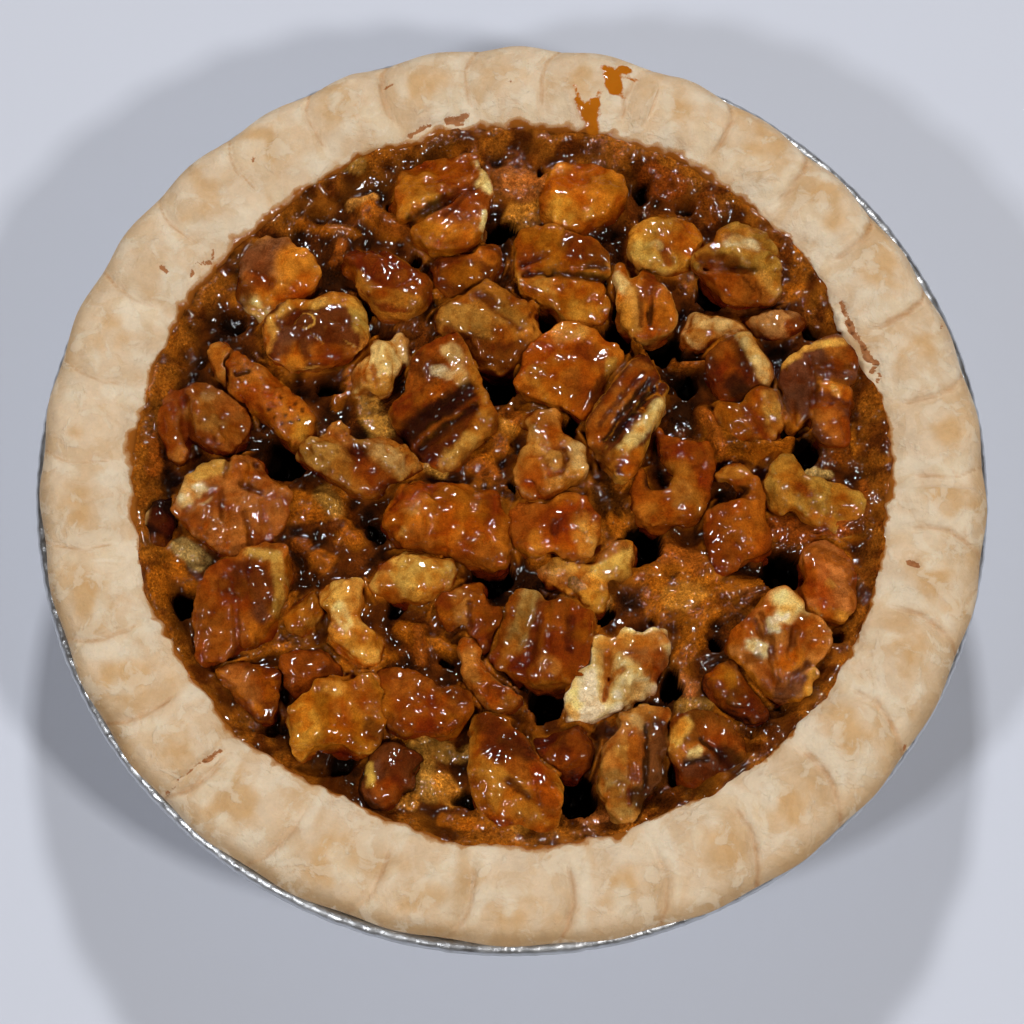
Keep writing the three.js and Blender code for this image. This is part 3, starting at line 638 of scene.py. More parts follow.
        outline="""
            -47.4,8.5 -46.2,11 -45.3,12.8 -43,13.5 -40.5,13.5 -38.5,12.5 -36.8,10.8 -35.3,9.5 -34.9,7.5
            -35.2,5.8 -36.5,4.8 -38.5,3.8 -40,4.2 -41.8,6 -43,4 -43.8,2.8 -45,3.3 -46,5""",
        marks="""
            -46,10.5 -45.5,5.5 1.4 -0.2 orange; -43.7,11.6 -43,5.6 0.8 1.1 rust;
            -42,10.8 -39.5,8.2 1.9 -0.3 yellow; -41,12.2 -40.3,12.4 0.7 0 cream;
            -38.5,6.5 -36.5,7.5 1.2 0 gold; -41.5,6.2 -40,5.6 1 0 rust""",
    ),
    "nut_24": dict(
        at=(3.2, -21.3), heading=75, height=8, kind="lobes",
        tone="amber", skin="amber", flesh="gold", shade="dim",
        outline="""
            -2.9,-24 -1.8,-21.5 -1,-18.5 -0.6,-16.5 0.5,-15.3 2.5,-15.2 4.2,-16 5.8,-16.3 7.4,-17 9.5,-18
            10.8,-19.5 10.3,-22 10,-25 8.5,-27.5 6,-27.8 4,-27.3 1.5,-27 -0.5,-26 -2,-25.3""",
        marks="""
            2.6,-15.8 0.6,-21.5 1.5 0 pale; 0,-22 -1.2,-24.2 0.9 0 gold; 3.9,-17 2.4,-23.5 0.7 0.9 red;
            6.2,-17 5.6,-23.5 1 -0.3 rust; 4.8,-17 4.4,-22.5 0.4 0.3 amber; 0.5,-24.3 3,-24 0.9 0 red;
            4.2,-24.8 5.5,-25.2 1 0 tan; 7.5,-19 7.3,-23 0.6 0.2 brown""",
    ),
    "nut_25": dict(
        at=(-3, 20.8), heading=-30, height=7, kind="egg",
        tone="pale", skin="gold", flesh="brown", shade="dim",
        outline="""
            -10,23.5 -8,25.8 -5.5,27.2 -3.5,28 -1.5,27.3 1,26 2.8,25 3.5,22.5 3.8,20 2.8,18 1.3,16.5
            -1,15.6 -3.5,16.2 -5.5,18 -7.5,20 -9.8,21.5""",
        marks="""
            -7.5,23.2 -3,21.8 2.2 -0.1 yellow; -4.2,26.5 1,22 0.8 0.5 brown;
            -3.5,27.6 -1.5,26.5 1.2 -0.2 gold; -1,24.5 1.5,22.8 1 0 olive; -9,21.9 -5.8,20.3 0.5 0.5 red;
            -5.5,19.3 -1,18 1.8 0.1 brown; 0.5,19.5 2,18.3 1.2 0 brown; -1.5,21.4 0,20.6 0.8 0 gold""",
    ),
    "nut_26": dict(
        at=(9.5, 40.7), heading=0, height=7, kind="egg",
        tone="amber", skin="orange", flesh="amber", shade="bright",
        outline="""
            4.2,42 5.5,44.5 7,46 9.5,46.5 12,45.8 14,44.5 15.3,43 15.5,41 14.8,39 12.8,37.3 10,36.2 7,36.3
            5,37.5 3.8,39.5""",
        marks="""
            8,43 12,42 3 0 orange; 6.5,38.8 9,38.2 2 0 gold; 11.5,36 11,36.5 1.2 0 rust;
            11,44 13.5,42.5 1.4 0 amber""",
    ),
    # Its dark mark between the crest and the body paints the shadow in the groove there.
    "nut_27": dict(
        at=(29, -5.5), heading=100, height=7.5, kind="chunk",
        tone="amber", skin="rust", flesh="amber", shade="low",
        outline="""
            27.5,1.8 30,2.2 31.8,1 32.8,-2 33.2,-5 33.7,-8.5 33,-9.5 30.5,-10.5 28.5,-12.8 26.5,-12.5
            26,-9 25.5,-6 26,-4 28.5,-3 30.4,-1 29,0.3 27.2,0.8""",
        marks="""
            27.8,1.6 30.8,1.6 1 -0.3 gold; 31.6,0.5 33,-6 0.9 -0.2 orange; 26,-2.6 30.8,-1 0.6 1.3 dark;
            28,-6.2 28.6,-7 0.9 -0.2 orange; 30.5,-4 31.5,-9 1.8 0 orange; 26,-7 25.5,-9 1.6 0 rust""",
    ),
    "nut_28": dict(
        at=(-22.7, -32.8), heading=15, height=7.5, kind="chunk",
        tone="amber", skin="amber", flesh="gold", shade="bright",
        outline="""
            -28.8,-31.5 -27.5,-30 -26,-29 -25.3,-27.5 -23.5,-27 -21.5,-27.6 -19.5,-26.5 -17.8,-26.8
            -17,-28.5 -16.5,-31 -16.8,-34 -18,-36 -21,-36.5 -24,-35.8 -26,-36 -27.3,-37.5 -28,-35.5
            -28.5,-33.5""",
        marks="""
            -24,-27.8 -22.5,-28.2 1 -0.3 tan; -27,-31.5 -26,-34 1.7 -0.2 gold;
            -22.5,-30.5 -21.5,-31.5 1.2 0.2 rust; -19.5,-28 -18.5,-30 1.8 0 rust;
            -25.5,-36 -21,-36.5 1 0 amber; -18,-33 -16.5,-35 1.2 0 brown""",
    ),
    "nut_29": dict(
        at=(-11.8, -31), heading=-28, height=7.5, kind="egg",
        tone="red", skin="rust", flesh="amber",
        outline="""
            -17.5,-25.5 -15,-25.2 -12.5,-25.6 -10.8,-26.8 -9.5,-28 -6.5,-28.2 -5.3,-29.5 -5.2,-31.5
            -6.3,-33.3 -8.5,-34.5 -11,-35 -13.5,-34.8 -15.8,-33.5 -17.2,-31 -17.5,-28""",
        marks="""
            -16,-26.5 -11,-26.8 1.4 0 rust; -12,-28.5 -8,-31 0.6 0.4 red; -9,-27.5 -6.5,-29 1.2 0 brown;
            -15,-31 -12,-32.5 1.8 0 rust; -9,-32 -6.5,-33 1.2 0 amber; -17,-28 -16.3,-31 1 0 amber""",
    ),
    "nut_30": dict(
        at=(24.6, -36.2), heading=-30, height=7.5, kind="lobes",
        tone="red", skin="brown", flesh="red", shade="full",
        outline="""
            20,-34 20.8,-32.5 22.5,-31.8 24.5,-31.3 26.8,-32.2 28.8,-33.8 29.9,-35.8 29.8,-38 28.3,-39.8
            26.5,-41.2 25,-42.3 23.3,-41.6 22,-40 21.5,-38 20.3,-36.3""",
        marks="""
            20.3,-35.5 22.3,-32.8 0.9 -0.2 tan; 21,-36.6 24,-36 0.9 -0.1 rust;
            23,-36.8 24,-36.4 0.6 -0.1 cream; 23,-38.3 26.2,-38.3 1.5 0.1 purple;
            22,-37.6 25,-37.4 0.3 0.5 dark; 25,-33.6 28,-35.2 1.6 0 red; 24.3,-35 27,-36.8 0.4 0.6 dark;
            27.5,-36.5 28.8,-38 1.4 0.1 dark""",
    ),
    "nut_31": dict(
        at=(-17.5, 28.7), heading=-38, height=6.5, kind="lobes",
        tone="red", skin="red", flesh="gold", shade="low",
        outline="""
            -22.9,31.5 -21.5,33.3 -19,33.8 -17,32.5 -14.5,31.2 -12.5,30 -10.8,28.2 -10.6,26.5 -12,25
            -14,23.8 -16.5,23.7 -18.5,25 -20,27 -21.5,29 -22.8,30""",
        marks="""
            -22.5,33.5 -15.5,28.2 1.6 0 red; -19.5,32.8 -15.3,30.8 0.3 -0.3 red;
            -22.6,30.6 -18,26.8 0.9 -0.2 gold; -18,26.5 -13,25.3 1.1 -0.1 gold;
            -14,28.8 -11.5,27.5 1.6 0 rust""",
    ),
    "nut_32": dict(
        at=(-32, 10.2), heading=-37, height=7.5, kind="egg",
        tone="amber", skin="rust", flesh="amber", shade="bright",
        outline="""
            -38.5,17 -37,18.3 -35.5,17.8 -33.8,16.3 -31,14 -28.5,12 -26.8,10 -26.2,8.5 -27,6.5 -28.3,5.3
            -30,6.3 -32,8 -34.5,10 -36.5,11.5 -37.6,13 -38,15""",
        marks="""
            -36.8,14 -34,12.8 1.8 0 rust; -31.5,10.8 -28.5,9.5 1.6 0 orange;
            -28.3,7.2 -27.2,8.5 1.2 0 gold; -36.8,15.4 -35.2,15.6 0.4 0.7 dark;
            -28.7,11.1 -28.7,11.1 0.22 0.3 dark; -30,9.4 -30,9.4 0.22 0.3 dark;
            -29.3,8.4 -29.3,8.4 0.22 0.3 dark; -28.2,8.9 -28.2,8.9 0.22 0.3 dark;
            -31.5,9.2 -31.5,9.2 0.22 0.3 dark; -30.4,8.2 -30.4,8.2 0.22 0.3 dark;
            -27.7,10.2 -27.7,10.2 0.22 0.3 dark; -32.3,10.1 -32.3,10.1 0.22 0.3 dark;
            -30.8,11.6 -30.8,11.6 0.22 0.3 dark; -29.5,10.6 -29.5,10.6 0.22 0.3 dark""",
    ),
    "nut_33": dict(
        at=(40, -3), heading=-27, height=7, kind="chunk",
        tone="pale", skin="olive", flesh="gold",
        outline="""
            34,-1 34.2,1.5 35.3,3 36.8,3.1 37.8,1.8 39,0.3 41.5,0 44,-0.8 46,-2 46.3,-4 46.7,-5.8 46,-7.2
            43.5,-7.2 41.5,-6 40,-6 38.5,-5.2 37,-4 35.3,-4.5 34.3,-3.3""",
        marks="""
            36,2 36,-3 1.4 0 gold; 39,-2.5 42.5,-2.2 1.6 0 olive; 38,-0.8 39,-1.4 0.7 0 rust;
            43.5,-2.5 45.5,-5 1.3 0 amber; 39.5,-5 42,-5.3 0.8 0 gold""",
    ),
    "nut_34": dict(
        at=(31.8, 7.8), heading=110, height=6.5, kind="egg",
        tone="amber", skin="amber", flesh="gold", shade="low",
        outline="""
            27.5,10.5 29,10.8 31,10.5 32,13 34,13.2 35.5,11.8 36.1,9.5 35.5,7 34.8,5.2 33,4.2 31,5
            29.5,5.2 28.2,6.8 27.6,8.6""",
        marks="""
            31.3,10.2 33,8 0.9 0.2 red; 34.3,12 35.2,7 1.2 -0.2 yellow; 29,9 30,6 1.2 0 amber;
            32.5,5.8 34,5.2 1 0 olive""",
    ),
    "nut_35": dict(
        at=(41.5, -14.3), heading=98, height=7, kind="chunk",
        tone="amber", skin="salmon", flesh="orange",
        outline="""
            38.7,-9.3 39.8,-8.5 41.5,-8.6 43,-9.4 44.5,-10.8 45.2,-13 44.9,-16 44.5,-18 43.2,-19.2 41,-19
            39.3,-18 38,-16.8 37.6,-15 38.3,-13 38.3,-11""",
        marks="""
            39.5,-9.5 43,-10.5 1.2 0 rust; 41.2,-14 41.5,-14.3 0.6 -0.1 tan;
            38.8,-17.8 43.5,-18.3 0.7 0 gold; 44.3,-12 44.8,-17 0.8 0 rust; 39,-12 38.6,-15 0.8 0 orange""",
    ),
    "nut_36": dict(
        at=(-13, -13.7), heading=10, height=7, kind="egg",
        tone="pale", skin="yellow", flesh="amber",
        outline="""
            -17.8,-12.2 -16.5,-10.6 -14,-9.9 -10.5,-10.2 -8,-10.7 -7.3,-12 -7.6,-13.8 -9.2,-15.5
            -11.5,-16.8 -14,-16.6 -16.5,-15.5 -18.4,-14.2""",
        marks="""
            -16.8,-13.5 -15.5,-15.5 1.2 0 orange; -13.5,-12.8 -9.5,-12 1.8 0 yellow;
            -13,-16 -9.5,-15 1 0 gold; -18,-10.8 -16.5,-11.5 0.8 0 rust""",
    ),
    "nut_37": dict(
        at=(17.7, 25), heading=85, height=6.5, kind="lobes",
        tone="amber", skin="orange", flesh="tan",
        outline="""
            14,30.8 15.5,30.2 16,28.5 18,30.3 19.5,29 21,26 21.8,23.5 21,21.3 19.5,20.3 17.5,20.2 15.8,21
            14.7,23 14.6,25.5 14.2,28""",
        marks="""
            14.2,29.3 15.6,27.2 0.9 -0.2 cream; 16.2,27 16.5,22 1.1 -0.1 tan;
            18.5,27 18.4,22.5 0.35 0.8 dark; 17.2,26 17.3,22 0.25 0.4 brown; 20,26.5 20.8,23.5 1 0 orange;
            19,29.3 18.2,26.5 1.3 0.1 red; 15,24.5 15.5,22 1 0 gold""",
    ),
    "nut_38": dict(
        at=(20.3, 33.3), heading=5, height=7, kind="egg",
        tone="pale", skin="gold", flesh="amber", shade="lit",
        outline="""
            15.5,33.5 16,35.5 17.5,37 20,38 22.5,37.5 25,36.3 26,34.8 25.8,33 24.5,31 22.8,30.3 21.5,29.5
            19.5,30.3 18.2,29.8 16.5,31""",
        marks="""
            17.2,33 20.5,31.5 1.6 -0.2 yellow; 21,34.5 24,33.8 1.6 -0.1 orange; 18,36 21.5,37 1.4 0 gold;
            20.2,33.3 21.3,31.6 0.6 0.6 red; 19.3,33.8 19.8,33.6 0.5 -0.2 cream; 23.5,36 25,35 0.8 0 gold""",
    ),
    "nut_39": dict(
        at=(30.6, 15.6), heading=103, height=7, kind="lobes",
        tone="red", skin="brown", flesh="red",
        outline="""
            26,16.5 27,18.3 28.5,19.7 30,20.2 31.5,20.8 32.3,19.8 33.5,18 34.7,16 35,14.5 33.8,13.3
            32,13.3 31.8,11 30,10.2 28.5,11.8 27.2,13.5 26.2,15""",
        marks="""
            31,20.8 32.5,17.5 1 -0.3 cream; 32.5,18 33.8,14.8 1.1 -0.2 cream;
            28.2,18.5 29.3,15 1.3 0 rust; 29.5,14 31.5,11.5 1.4 0.2 dark; 30.5,18.5 31.5,14 0.3 0.5 maroon""",
    ),
    "nut_40": dict(
        at=(-21, -19.3), heading=29, height=7, kind="lobes",
        tone="pale", skin="tan", flesh="orange", shade="bright",
        outline="""
            -25,-15.3 -24,-14.2 -21.5,-13.8 -19.7,-14.2 -19.5,-16.5 -20,-18.8 -18.8,-20 -17.3,-21
            -16.8,-22.5 -17.5,-24.2 -19.5,-25 -21.5,-24.5 -23.2,-23.3 -23.7,-21.5 -23.3,-19.5 -24.5,-17.5""",
        marks="""
            -23.5,-15.5 -21.5,-15.8 1.6 -0.2 tan; -22.5,-17.5 -21.6,-19.5 1 0 cream;
            -20.5,-21.5 -18.2,-21.3 1.3 -0.2 gold; -23,-20.5 -22.5,-22.5 0.9 0 orange;
            -24.2,-17.5 -23.8,-19 0.5 0.5 amber""",
    ),
    "nut_41": dict(
        at=(28.8, -29.3), heading=-30, height=6, kind="egg",
        tone="red", skin="brown", flesh="dark", shade="full",
        outline="""
            25.2,-26.5 26.5,-25 28.3,-24.7 29.8,-26.3 31,-28 32.3,-29.7 33.2,-31.5 31.8,-32.8 29.5,-32.5
            27.5,-31.3 26,-29.8 25.1,-28""",
        marks="""
            27,-28 30,-29 1.6 0 brown; 26.5,-25 28,-26.5 1.3 0 amber; 31,-30 32,-31.5 1.2 0 maroon""",
    ),
    "nut_42": dict(
        at=(-15.8, -40.3), heading=70, height=6, kind="egg",
        tone="red", skin="maroon", flesh="dark", shade="full",
        outline="""
            -18.5,-38 -17.8,-36 -15.5,-35.3 -13,-36 -11.8,-37.5 -12.5,-39.5 -13,-41.5 -14.5,-43.3
            -16.5,-44 -18.3,-43 -19,-41""",
        marks="""
            -16,-36 -14,-38 1.5 0 maroon; -16.5,-41 -14.5,-43 1.6 0 red;
            -17.3,-38 -16.8,-39.5 0.6 0 purple; -18.4,-38 -18,-40.5 0.5 -0.2 olive""",
    ),
    "nut_43": dict(
        at=(-33.7, -29.2), heading=-35, height=5.5, kind="chunk",
        tone="red", skin="brown", flesh="amber",
        outline="""
            -38.5,-25.8 -36.5,-25 -33,-24.8 -30.5,-25.3 -30,-27 -30.2,-29.5 -31,-31.5 -32.3,-32.5
            -34,-31.3 -35.5,-30 -36.5,-28.5 -37.5,-27.2""",
        marks="""
            -37.5,-25.8 -32.5,-31 0.6 -0.1 orange; -36,-26 -33,-28 1.6 0 sienna;
            -31.8,-26 -31,-28.5 1 0 amber""",
    ),
    "nut_44": dict(
        at=(-6.3, 29.7), heading=0, height=6, kind="chunk",
        tone="amber", skin="brown", flesh="rust",
        outline="""
            -10.8,31.5 -8,32 -5,31.8 -3.9,33.8 -2.6,34 -1.8,32.8 -2.2,31 -3.3,29 -4.5,27.8 -6.5,26.8
            -7.8,25.8 -9,26.8 -10.5,28.5""",
        marks="""
            -9,32.6 -4.5,32.8 1.3 -0.1 rust; -4.5,33 -2.8,32 1 0 orange; -8,30 -5.5,29.5 1.6 0 amber""",
    ),
    "nut_45": dict(
        at=(-26.2, -26), heading=-20, height=5.5, kind="egg",
        tone="amber", skin="rust", flesh="brown", shade="dim",
        outline="""
            -29.8,-24 -28,-22.8 -25,-22.7 -22.8,-24 -21.8,-25.5 -23,-27 -25,-27.8 -27,-28.8 -29,-28
            -30,-26""",
        marks="-28.5,-24 -26,-25.5 1.8 0 rust; -24,-25.5 -22.5,-26 1 0 brown",
    ),
    "nut_46": dict(
        at=(-5.8, -18.3), heading=60, height=6.5, kind="lobes",
        tone="amber", skin="amber", flesh="rust", shade="dim",
        outline="""
            -9.8,-17.5 -9,-15.2 -7.5,-14.2 -5.5,-14.3 -4,-15.8 -2.8,-17.3 -1.6,-18 -2.2,-20 -3.3,-21.8
            -4.5,-22.3 -5.5,-21.2 -6,-19.5 -7.5,-19.5 -9,-19.3""",
        marks="""
            -6.8,-15.5 -6.4,-18.5 1.1 -0.1 tan; -4.6,-18.5 -4.4,-21 0.9 -0.1 orange;
            -5.6,-16.5 -5.4,-19.5 0.3 0.6 brown; -3.5,-16.8 -2,-17.8 1 0 rust""",
        limbs="-7,-15.5 -4.8,-15 1.6 -0.4; -4.6,-19 -3.6,-22 1.3 -0.8",
    ),
    "nut_47": dict(
        at=(-17.8, 15.3), heading=60, height=6.5, kind="chunk",
        tone="pale", skin="cream", flesh="gold",
        outline="""
            -21.3,15 -20.5,16.5 -18.5,18.5 -17,19.7 -15.4,19.2 -15.2,17.5 -16,15.5 -16.3,13.8 -17.5,12.7
            -19,13.3 -20.5,12.3 -21.4,13""",
        marks="""
            -17.5,19 -16,16.5 1.3 -0.1 cream; -20.3,15.2 -19,14.2 1.3 -0.2 tan;
            -17.8,13.2 -17,14 1 -0.2 gold; -18.8,16.5 -18,13.8 0.3 0.4 amber""",
        limbs="-17.3,18.6 -17,16.5 1.9 0; -15.4,20.3 -14.4,17.5 1.3 -0.6",
    ),
    "nut_48": dict(
        at=(6.6, -37.5), heading=-20, height=5, kind="chunk",
        tone="amber", skin="brown", flesh="amber", shade="dim",
        outline="""
            2.3,-35 4.5,-34.3 7,-34.2 9,-33.5 10.1,-34.8 9.9,-37 9.5,-38.5 8.2,-39.8 6.8,-39.8 5.5,-38.5
            4.2,-38 3,-36.8""",
        marks="8,-34 9,-38 1 -0.2 rust; 5,-36.5 6.5,-37.5 1.3 0 amber",
    ),
    "nut_49": dict(
        at=(27.3, 21.3), heading=5, height=5, kind="egg",
        tone="pale", skin="cream", flesh="gold", shade="low",
        outline="""
            22.8,21.5 23.8,23.3 25,24.3 27.5,24 30,23.7 31,22.8 31.8,21.7 30.5,20.8 28,20.2 25.5,19.8
            23.5,20""",
        marks="""
            25,22.8 30,23.2 0.8 -0.2 cream; 24.2,21.5 28,20.6 0.9 0 gold; 25.5,24.3 29.5,24.3 0.6 0 tan""",
    ),
    "nut_50": dict(
        at=(35.3, 21.5), heading=-8, height=5, kind="egg",
        tone="pale", skin="cream", flesh="amber", shade="dark",
        outline="31,23 33,23.8 35.5,24.3 38,24.5 39.8,23.8 39.5,22.5 38,21.5 35.5,21 33,21.2 31.8,22",
        marks="""
            32,23 36.5,22 0.9 -0.1 cream; 37.5,22.5 39,23.2 1 0 amber; 31.5,21.5 34,20.7 0.8 0 brown""",
    ),
    "nut_51": dict(
        at=(-27.2, -18.3), heading=80, height=6, kind="egg",
        tone="amber", skin="amber", flesh="gold",
        outline="""
            -29.6,-18.5 -29.3,-16.8 -27.8,-15.5 -26,-15.1 -25,-16.5 -25,-18.5 -25.5,-20.3 -27,-21.2
            -28.8,-20.5""",
        marks="-27,-17 -26.6,-18.5 0.9 0 gold",
    ),
    "nut_52": dict(
        at=(-38.7, 15.8), heading=110, height=5.5, kind="chunk",
        tone="amber", skin="orange", flesh="tan",
        outline="-40.5,19.5 -39,20 -37.8,18.8 -37.9,17 -38.3,15 -38,13.7 -39.2,14.8 -40.4,17.2",
        marks="-40,19 -38.3,16 1.2 0 tan; -37.3,18 -36.2,16 1.1 0 rust",
    ),
    "nut_53": dict(
        at=(-46.7, -6.6), heading=100, height=5, kind="egg",
        tone="dark", skin="dark", flesh="black", shade="low",
        outline="""
            -48.8,-5 -48,-3.2 -46.5,-2.5 -44.8,-3 -44.3,-4.8 -44.8,-6.5 -45,-8.5 -46,-10 -47.5,-9.5
            -48.6,-7.5""",
        marks="""
            -48.4,-5 -48,-3.9 0.35 -0.1 cream; -46.5,-8 -45.5,-8.5 1.2 0 brown;
            -47,-4.5 -45.5,-5.5 1.2 0 maroon""",
    ),
}

# What lies above the plane that the photo was traced in looks moved along y. These moves undo that for
# the outlines, for the marks on top of the nuts and for the limbs.
OUTLINE_SHIFT = -0.85
MARK_SHIFT = -1.4
LIMB_SHIFT = -0.8

for nut in NUTS.values():
    corners = [pair.split(",") for pair in nut["outline"].split()]
    nut["outline"] = np.array([(float(x), round(float(y) + OUTLINE_SHIFT, 2)) for x, y in corners])
    nut["marks"] = strokes(nut["marks"], MARK_SHIFT)
    nut["limbs"] = strokes(nut["limbs"], LIMB_SHIFT) if "limbs" in nut else []

NUT_NUMBERS = {name: index for index, name in enumerate(NUTS)}


# ---------------------------------------------------------------- nuts: their form

NUT_STEP = 0.31  # grid of a nut's upper part
BURIED_STEP = 0.9  # grid of what the syrup hides
BURIED_DEPTH = 1.2  # depth under the syrup at which that begins
SKIN_WANDER = 0.34  # how far a nut's surface strays from its plain form
EDGE_WANDER = 0.45  # how far its outline strays
EDGE_CHIPS = 0.2  # and how far its small chips go
DETAIL_REACH = 2.2  # how far from its plain form a nut's surface is worked out
LIMB_BLEND = 0.7
NUT_SWELL = 0.25  # how far the sides stand outside the outline seen from above
NARROWEST_GROOVE = 0.35  # a narrower groove would fall between the points of a mesh
SEEN_GAP = 0.03  # left between one nut and the next
NUT_MARGIN = 1.2  # room round a nut for its wander
NUT_HEADROOM = 1.6  # and over and under it
LIMB_MARGIN = 0.9
SYRUP_SHADE_LINE = 25.9  # height under which a nut is darker, coated with dark syrup and painted with shade

OUTLINE_STEP = 0.16
OUTLINE_MARGIN = 4.0
OUTLINE_PARTS = 5  # straight parts from one traced point of an outline to the next

# Radius of the rounded upper edge, how far the top falls towards the edge, and number of flat faces
# round it and on top of it.
KINDS = {
    "curl": (1.1, 0.3, 2, 2),
    "lobes": (1.1, 0.5, 3, 2),
    "egg": (1.8, 0.8, 2, 2),
    "chunk": (0.6, 0.15, 5, 3),
}

# Flat faces: least and most steepness, how far a bevel cuts in from the edge, and how far off the
# middle the ridge of a face on top lies.
BEVEL_STEEPNESS = (28, 60)
BEVEL_BITE = (0.8, 2.6)
ROOF_STEEPNESS = (7, 22)
ROOF_SHIFT = (-1.2, 1.2)
FLAT_STRAY = 25  # how far the headings of the flat faces stray from even ones
FLAT_BLEND = 0.22


def nut_turn(name):
    """The turn of a nut about its middle, and its middle, as in the part."""
    nut, index = NUTS[name], NUT_NUMBERS[name]
    tilt = math.radians(NUT_TILT)
    turn = (
        Matrix.Rotation(math.radians(nut["heading"]), 3, "Z")
        @ Matrix.Rotation(tilt * math.cos(PITCH_STEP * index), 3, "Y")
        @ Matrix.Rotation(tilt * math.sin(ROLL_STEP * index + 1), 3, "X")
    )
    return np.array(turn), np.array([*nut["at"], FILLING_LEVEL + NUT_RISE])


def outline_points(name):
    """Points close together along a nut's outline."""
    corners = NUTS[name]["outline"]
    around = [np.roll(corners, turn, 0) for turn in (1, 0, -1, -2)]
    shares = np.arange(0, 1, 1 / OUTLINE_PARTS)
    return np.array([curve_point(*four, t) for four in zip(*around) for t in shares])


def outline_table(name):
    """Distance to a nut's outline on a fine grid, below 0 inside it, and the grid's low corner."""
    line = outline_points(name)
    low, high = line.min(0) - OUTLINE_MARGIN, line.max(0) + OUTLINE_MARGIN
    sides = [np.arange(a, b + OUTLINE_STEP, OUTLINE_STEP) for a, b in zip(low, high)]
    x, y = np.meshgrid(*sides, indexing="ij")
    nearest = np.full(x.shape, np.inf)
    crossings = np.zeros(x.shape, int)
    for (x1, y1), (x2, y2) in zip(line, np.roll(line, -1, 0)):
        nearest = np.minimum(nearest, from_segment(x, y, x1, y1, x2, y2))
        if y1 != y2:
            spans = (y1 > y) != (y2 > y)
            crossings += spans & (x < (x2 - x1) * (y - y1) / (y2 - y1) + x1)
    return np.where(crossings % 2 == 1, -nearest, nearest), low


OUTLINE_TABLES = {name: outline_table(name) for name in NUTS}


def from_outline(name, x, y):
    """Distance from points to a nut's outline, seen from above, below 0 inside it."""
    table, low = OUTLINE_TABLES[name]
    u = np.clip((x - low[0]) / OUTLINE_STEP, 0, table.shape[0] - 1.001)
    v = np.clip((y - low[1]) / OUTLINE_STEP, 0, table.shape[1] - 1.001)
    i, j = u.astype(int), v.astype(int)
    p, q = u - i, v - j
    near = table[i, j] * (1 - p) * (1 - q) + table[i + 1, j] * p * (1 - q)
    return near + table[i, j + 1] * (1 - p) * q + table[i + 1, j + 1] * p * q


def rounded(sideways, upward, radius):
    """Field of a solid bounded by two fields, with the edge between them rounded."""
    a, b = sideways + radius, upward + radius
    return np.hypot(np.maximum(a, 0), np.maximum(b, 0)) + np.minimum(np.maximum(a, b), 0) - radius


def flat_faces(name):
    """Heading, steepness and place of each flat face of a nut: first the bevels, then those on top."""
    *_, bevels, roofs = KINDS[NUTS[name]["kind"]]
    line = outline_points(name)
    random = np.random.default_rng(500 + NUT_NUMBERS[name])
    start = random.uniform(0, 360)
    for flat in range(bevels + roofs):
        on_top = flat >= bevels
        share = (flat - bevels) / roofs if on_top else flat / bevels
        angle = math.radians(start + 360 * share + random.uniform(-FLAT_STRAY, FLAT_STRAY))
        steepness = math.radians(random.uniform(*(ROOF_STEEPNESS if on_top else BEVEL_STEEPNESS)))
        outward = np.array([math.cos(angle), math.sin(angle)])
        if on_top:
            place = line.mean(0) @ outward + random.uniform(*ROOF_SHIFT)
        else:
            place = (line @ outward).max() - random.uniform(*BEVEL_BITE)
        yield outward, steepness, place


def nut_form(name, points):
    """The form of a nut at points of the pie: below 0 inside it."""
    nut, index = NUTS[name], NUT_NUMBERS[name]
    turn, middle = nut_turn(name)
    edge, dome, *_ = KINDS[nut["kind"]]
    x, y = points[..., 0], points[..., 1]
    stray = flat_points(x, y, points[..., 2] * 0.6)
    x = layered(stray, (EDGE_WANDER, 2.4, index), (EDGE_CHIPS, 1.1, index + 20), start=x)
    y = layered(stray, (EDGE_WANDER, 2.4, index + 60), (EDGE_CHIPS, 1.1, index + 80), start=y)
    aside = from_outline(name, x, y) - NUT_SWELL
    half = nut["height"] / 2
    upward = (points - middle) @ turn[:, 2]
    above = upward - half + dome * (1 - smoothstep(0, 4, -aside))
    field = np.maximum(rounded(aside, above, edge), -upward - half)
    for outward, steepness, place in flat_faces(name):
        cut = (x * outward[0] + y * outward[1] - place) * math.sin(steepness)
        field = smooth_max(field, cut + (upward - half) * math.cos(steepness), FLAT_BLEND)
    for x1, y1, x2, y2, radius, lift in nut["limbs"]:
        height = points[..., 2] - middle[2] - lift
        bar = np.hypot(from_segment(x, y, x1, y1, x2, y2), height * 0.7) - radius
        field = smooth_min(field, bar, LIMB_BLEND)
    return field


def crease(points, scale, seed, width):
    """1 along the winding lines where a noise is zero, falling to 0 away from them."""
    return np.clip(1 - np.abs(noise(points, scale, seed)) / width, 0, 1)


def nut_skin(name, points):
    """How far a nut's surface sinks under its plain form in wrinkles and hollows.

    Each layer is so many mm deep and has blobs or folds of so many mm.
    """
    seed = NUT_NUMBERS[name] * 3 + 1
    turn, middle = nut_turn(name)
    change = SKIN_WANDER * noise(points, 3.4, seed)
    change += 0.22 * noise(points, 1.6, seed + 1)
    wrinkled = smoothstep(0, 0.5, noise(points, 4.5, seed + 3))
    change += 0.3 * crease((points - middle) @ turn, (3.2, 2.2, 2.2), seed + 4, 0.16) * wrinkled
    change += 0.16 * crease(points, 1.5, seed + 2, 0.3)
    return change + 0.16 * noise(points, 0.8, seed + 5)


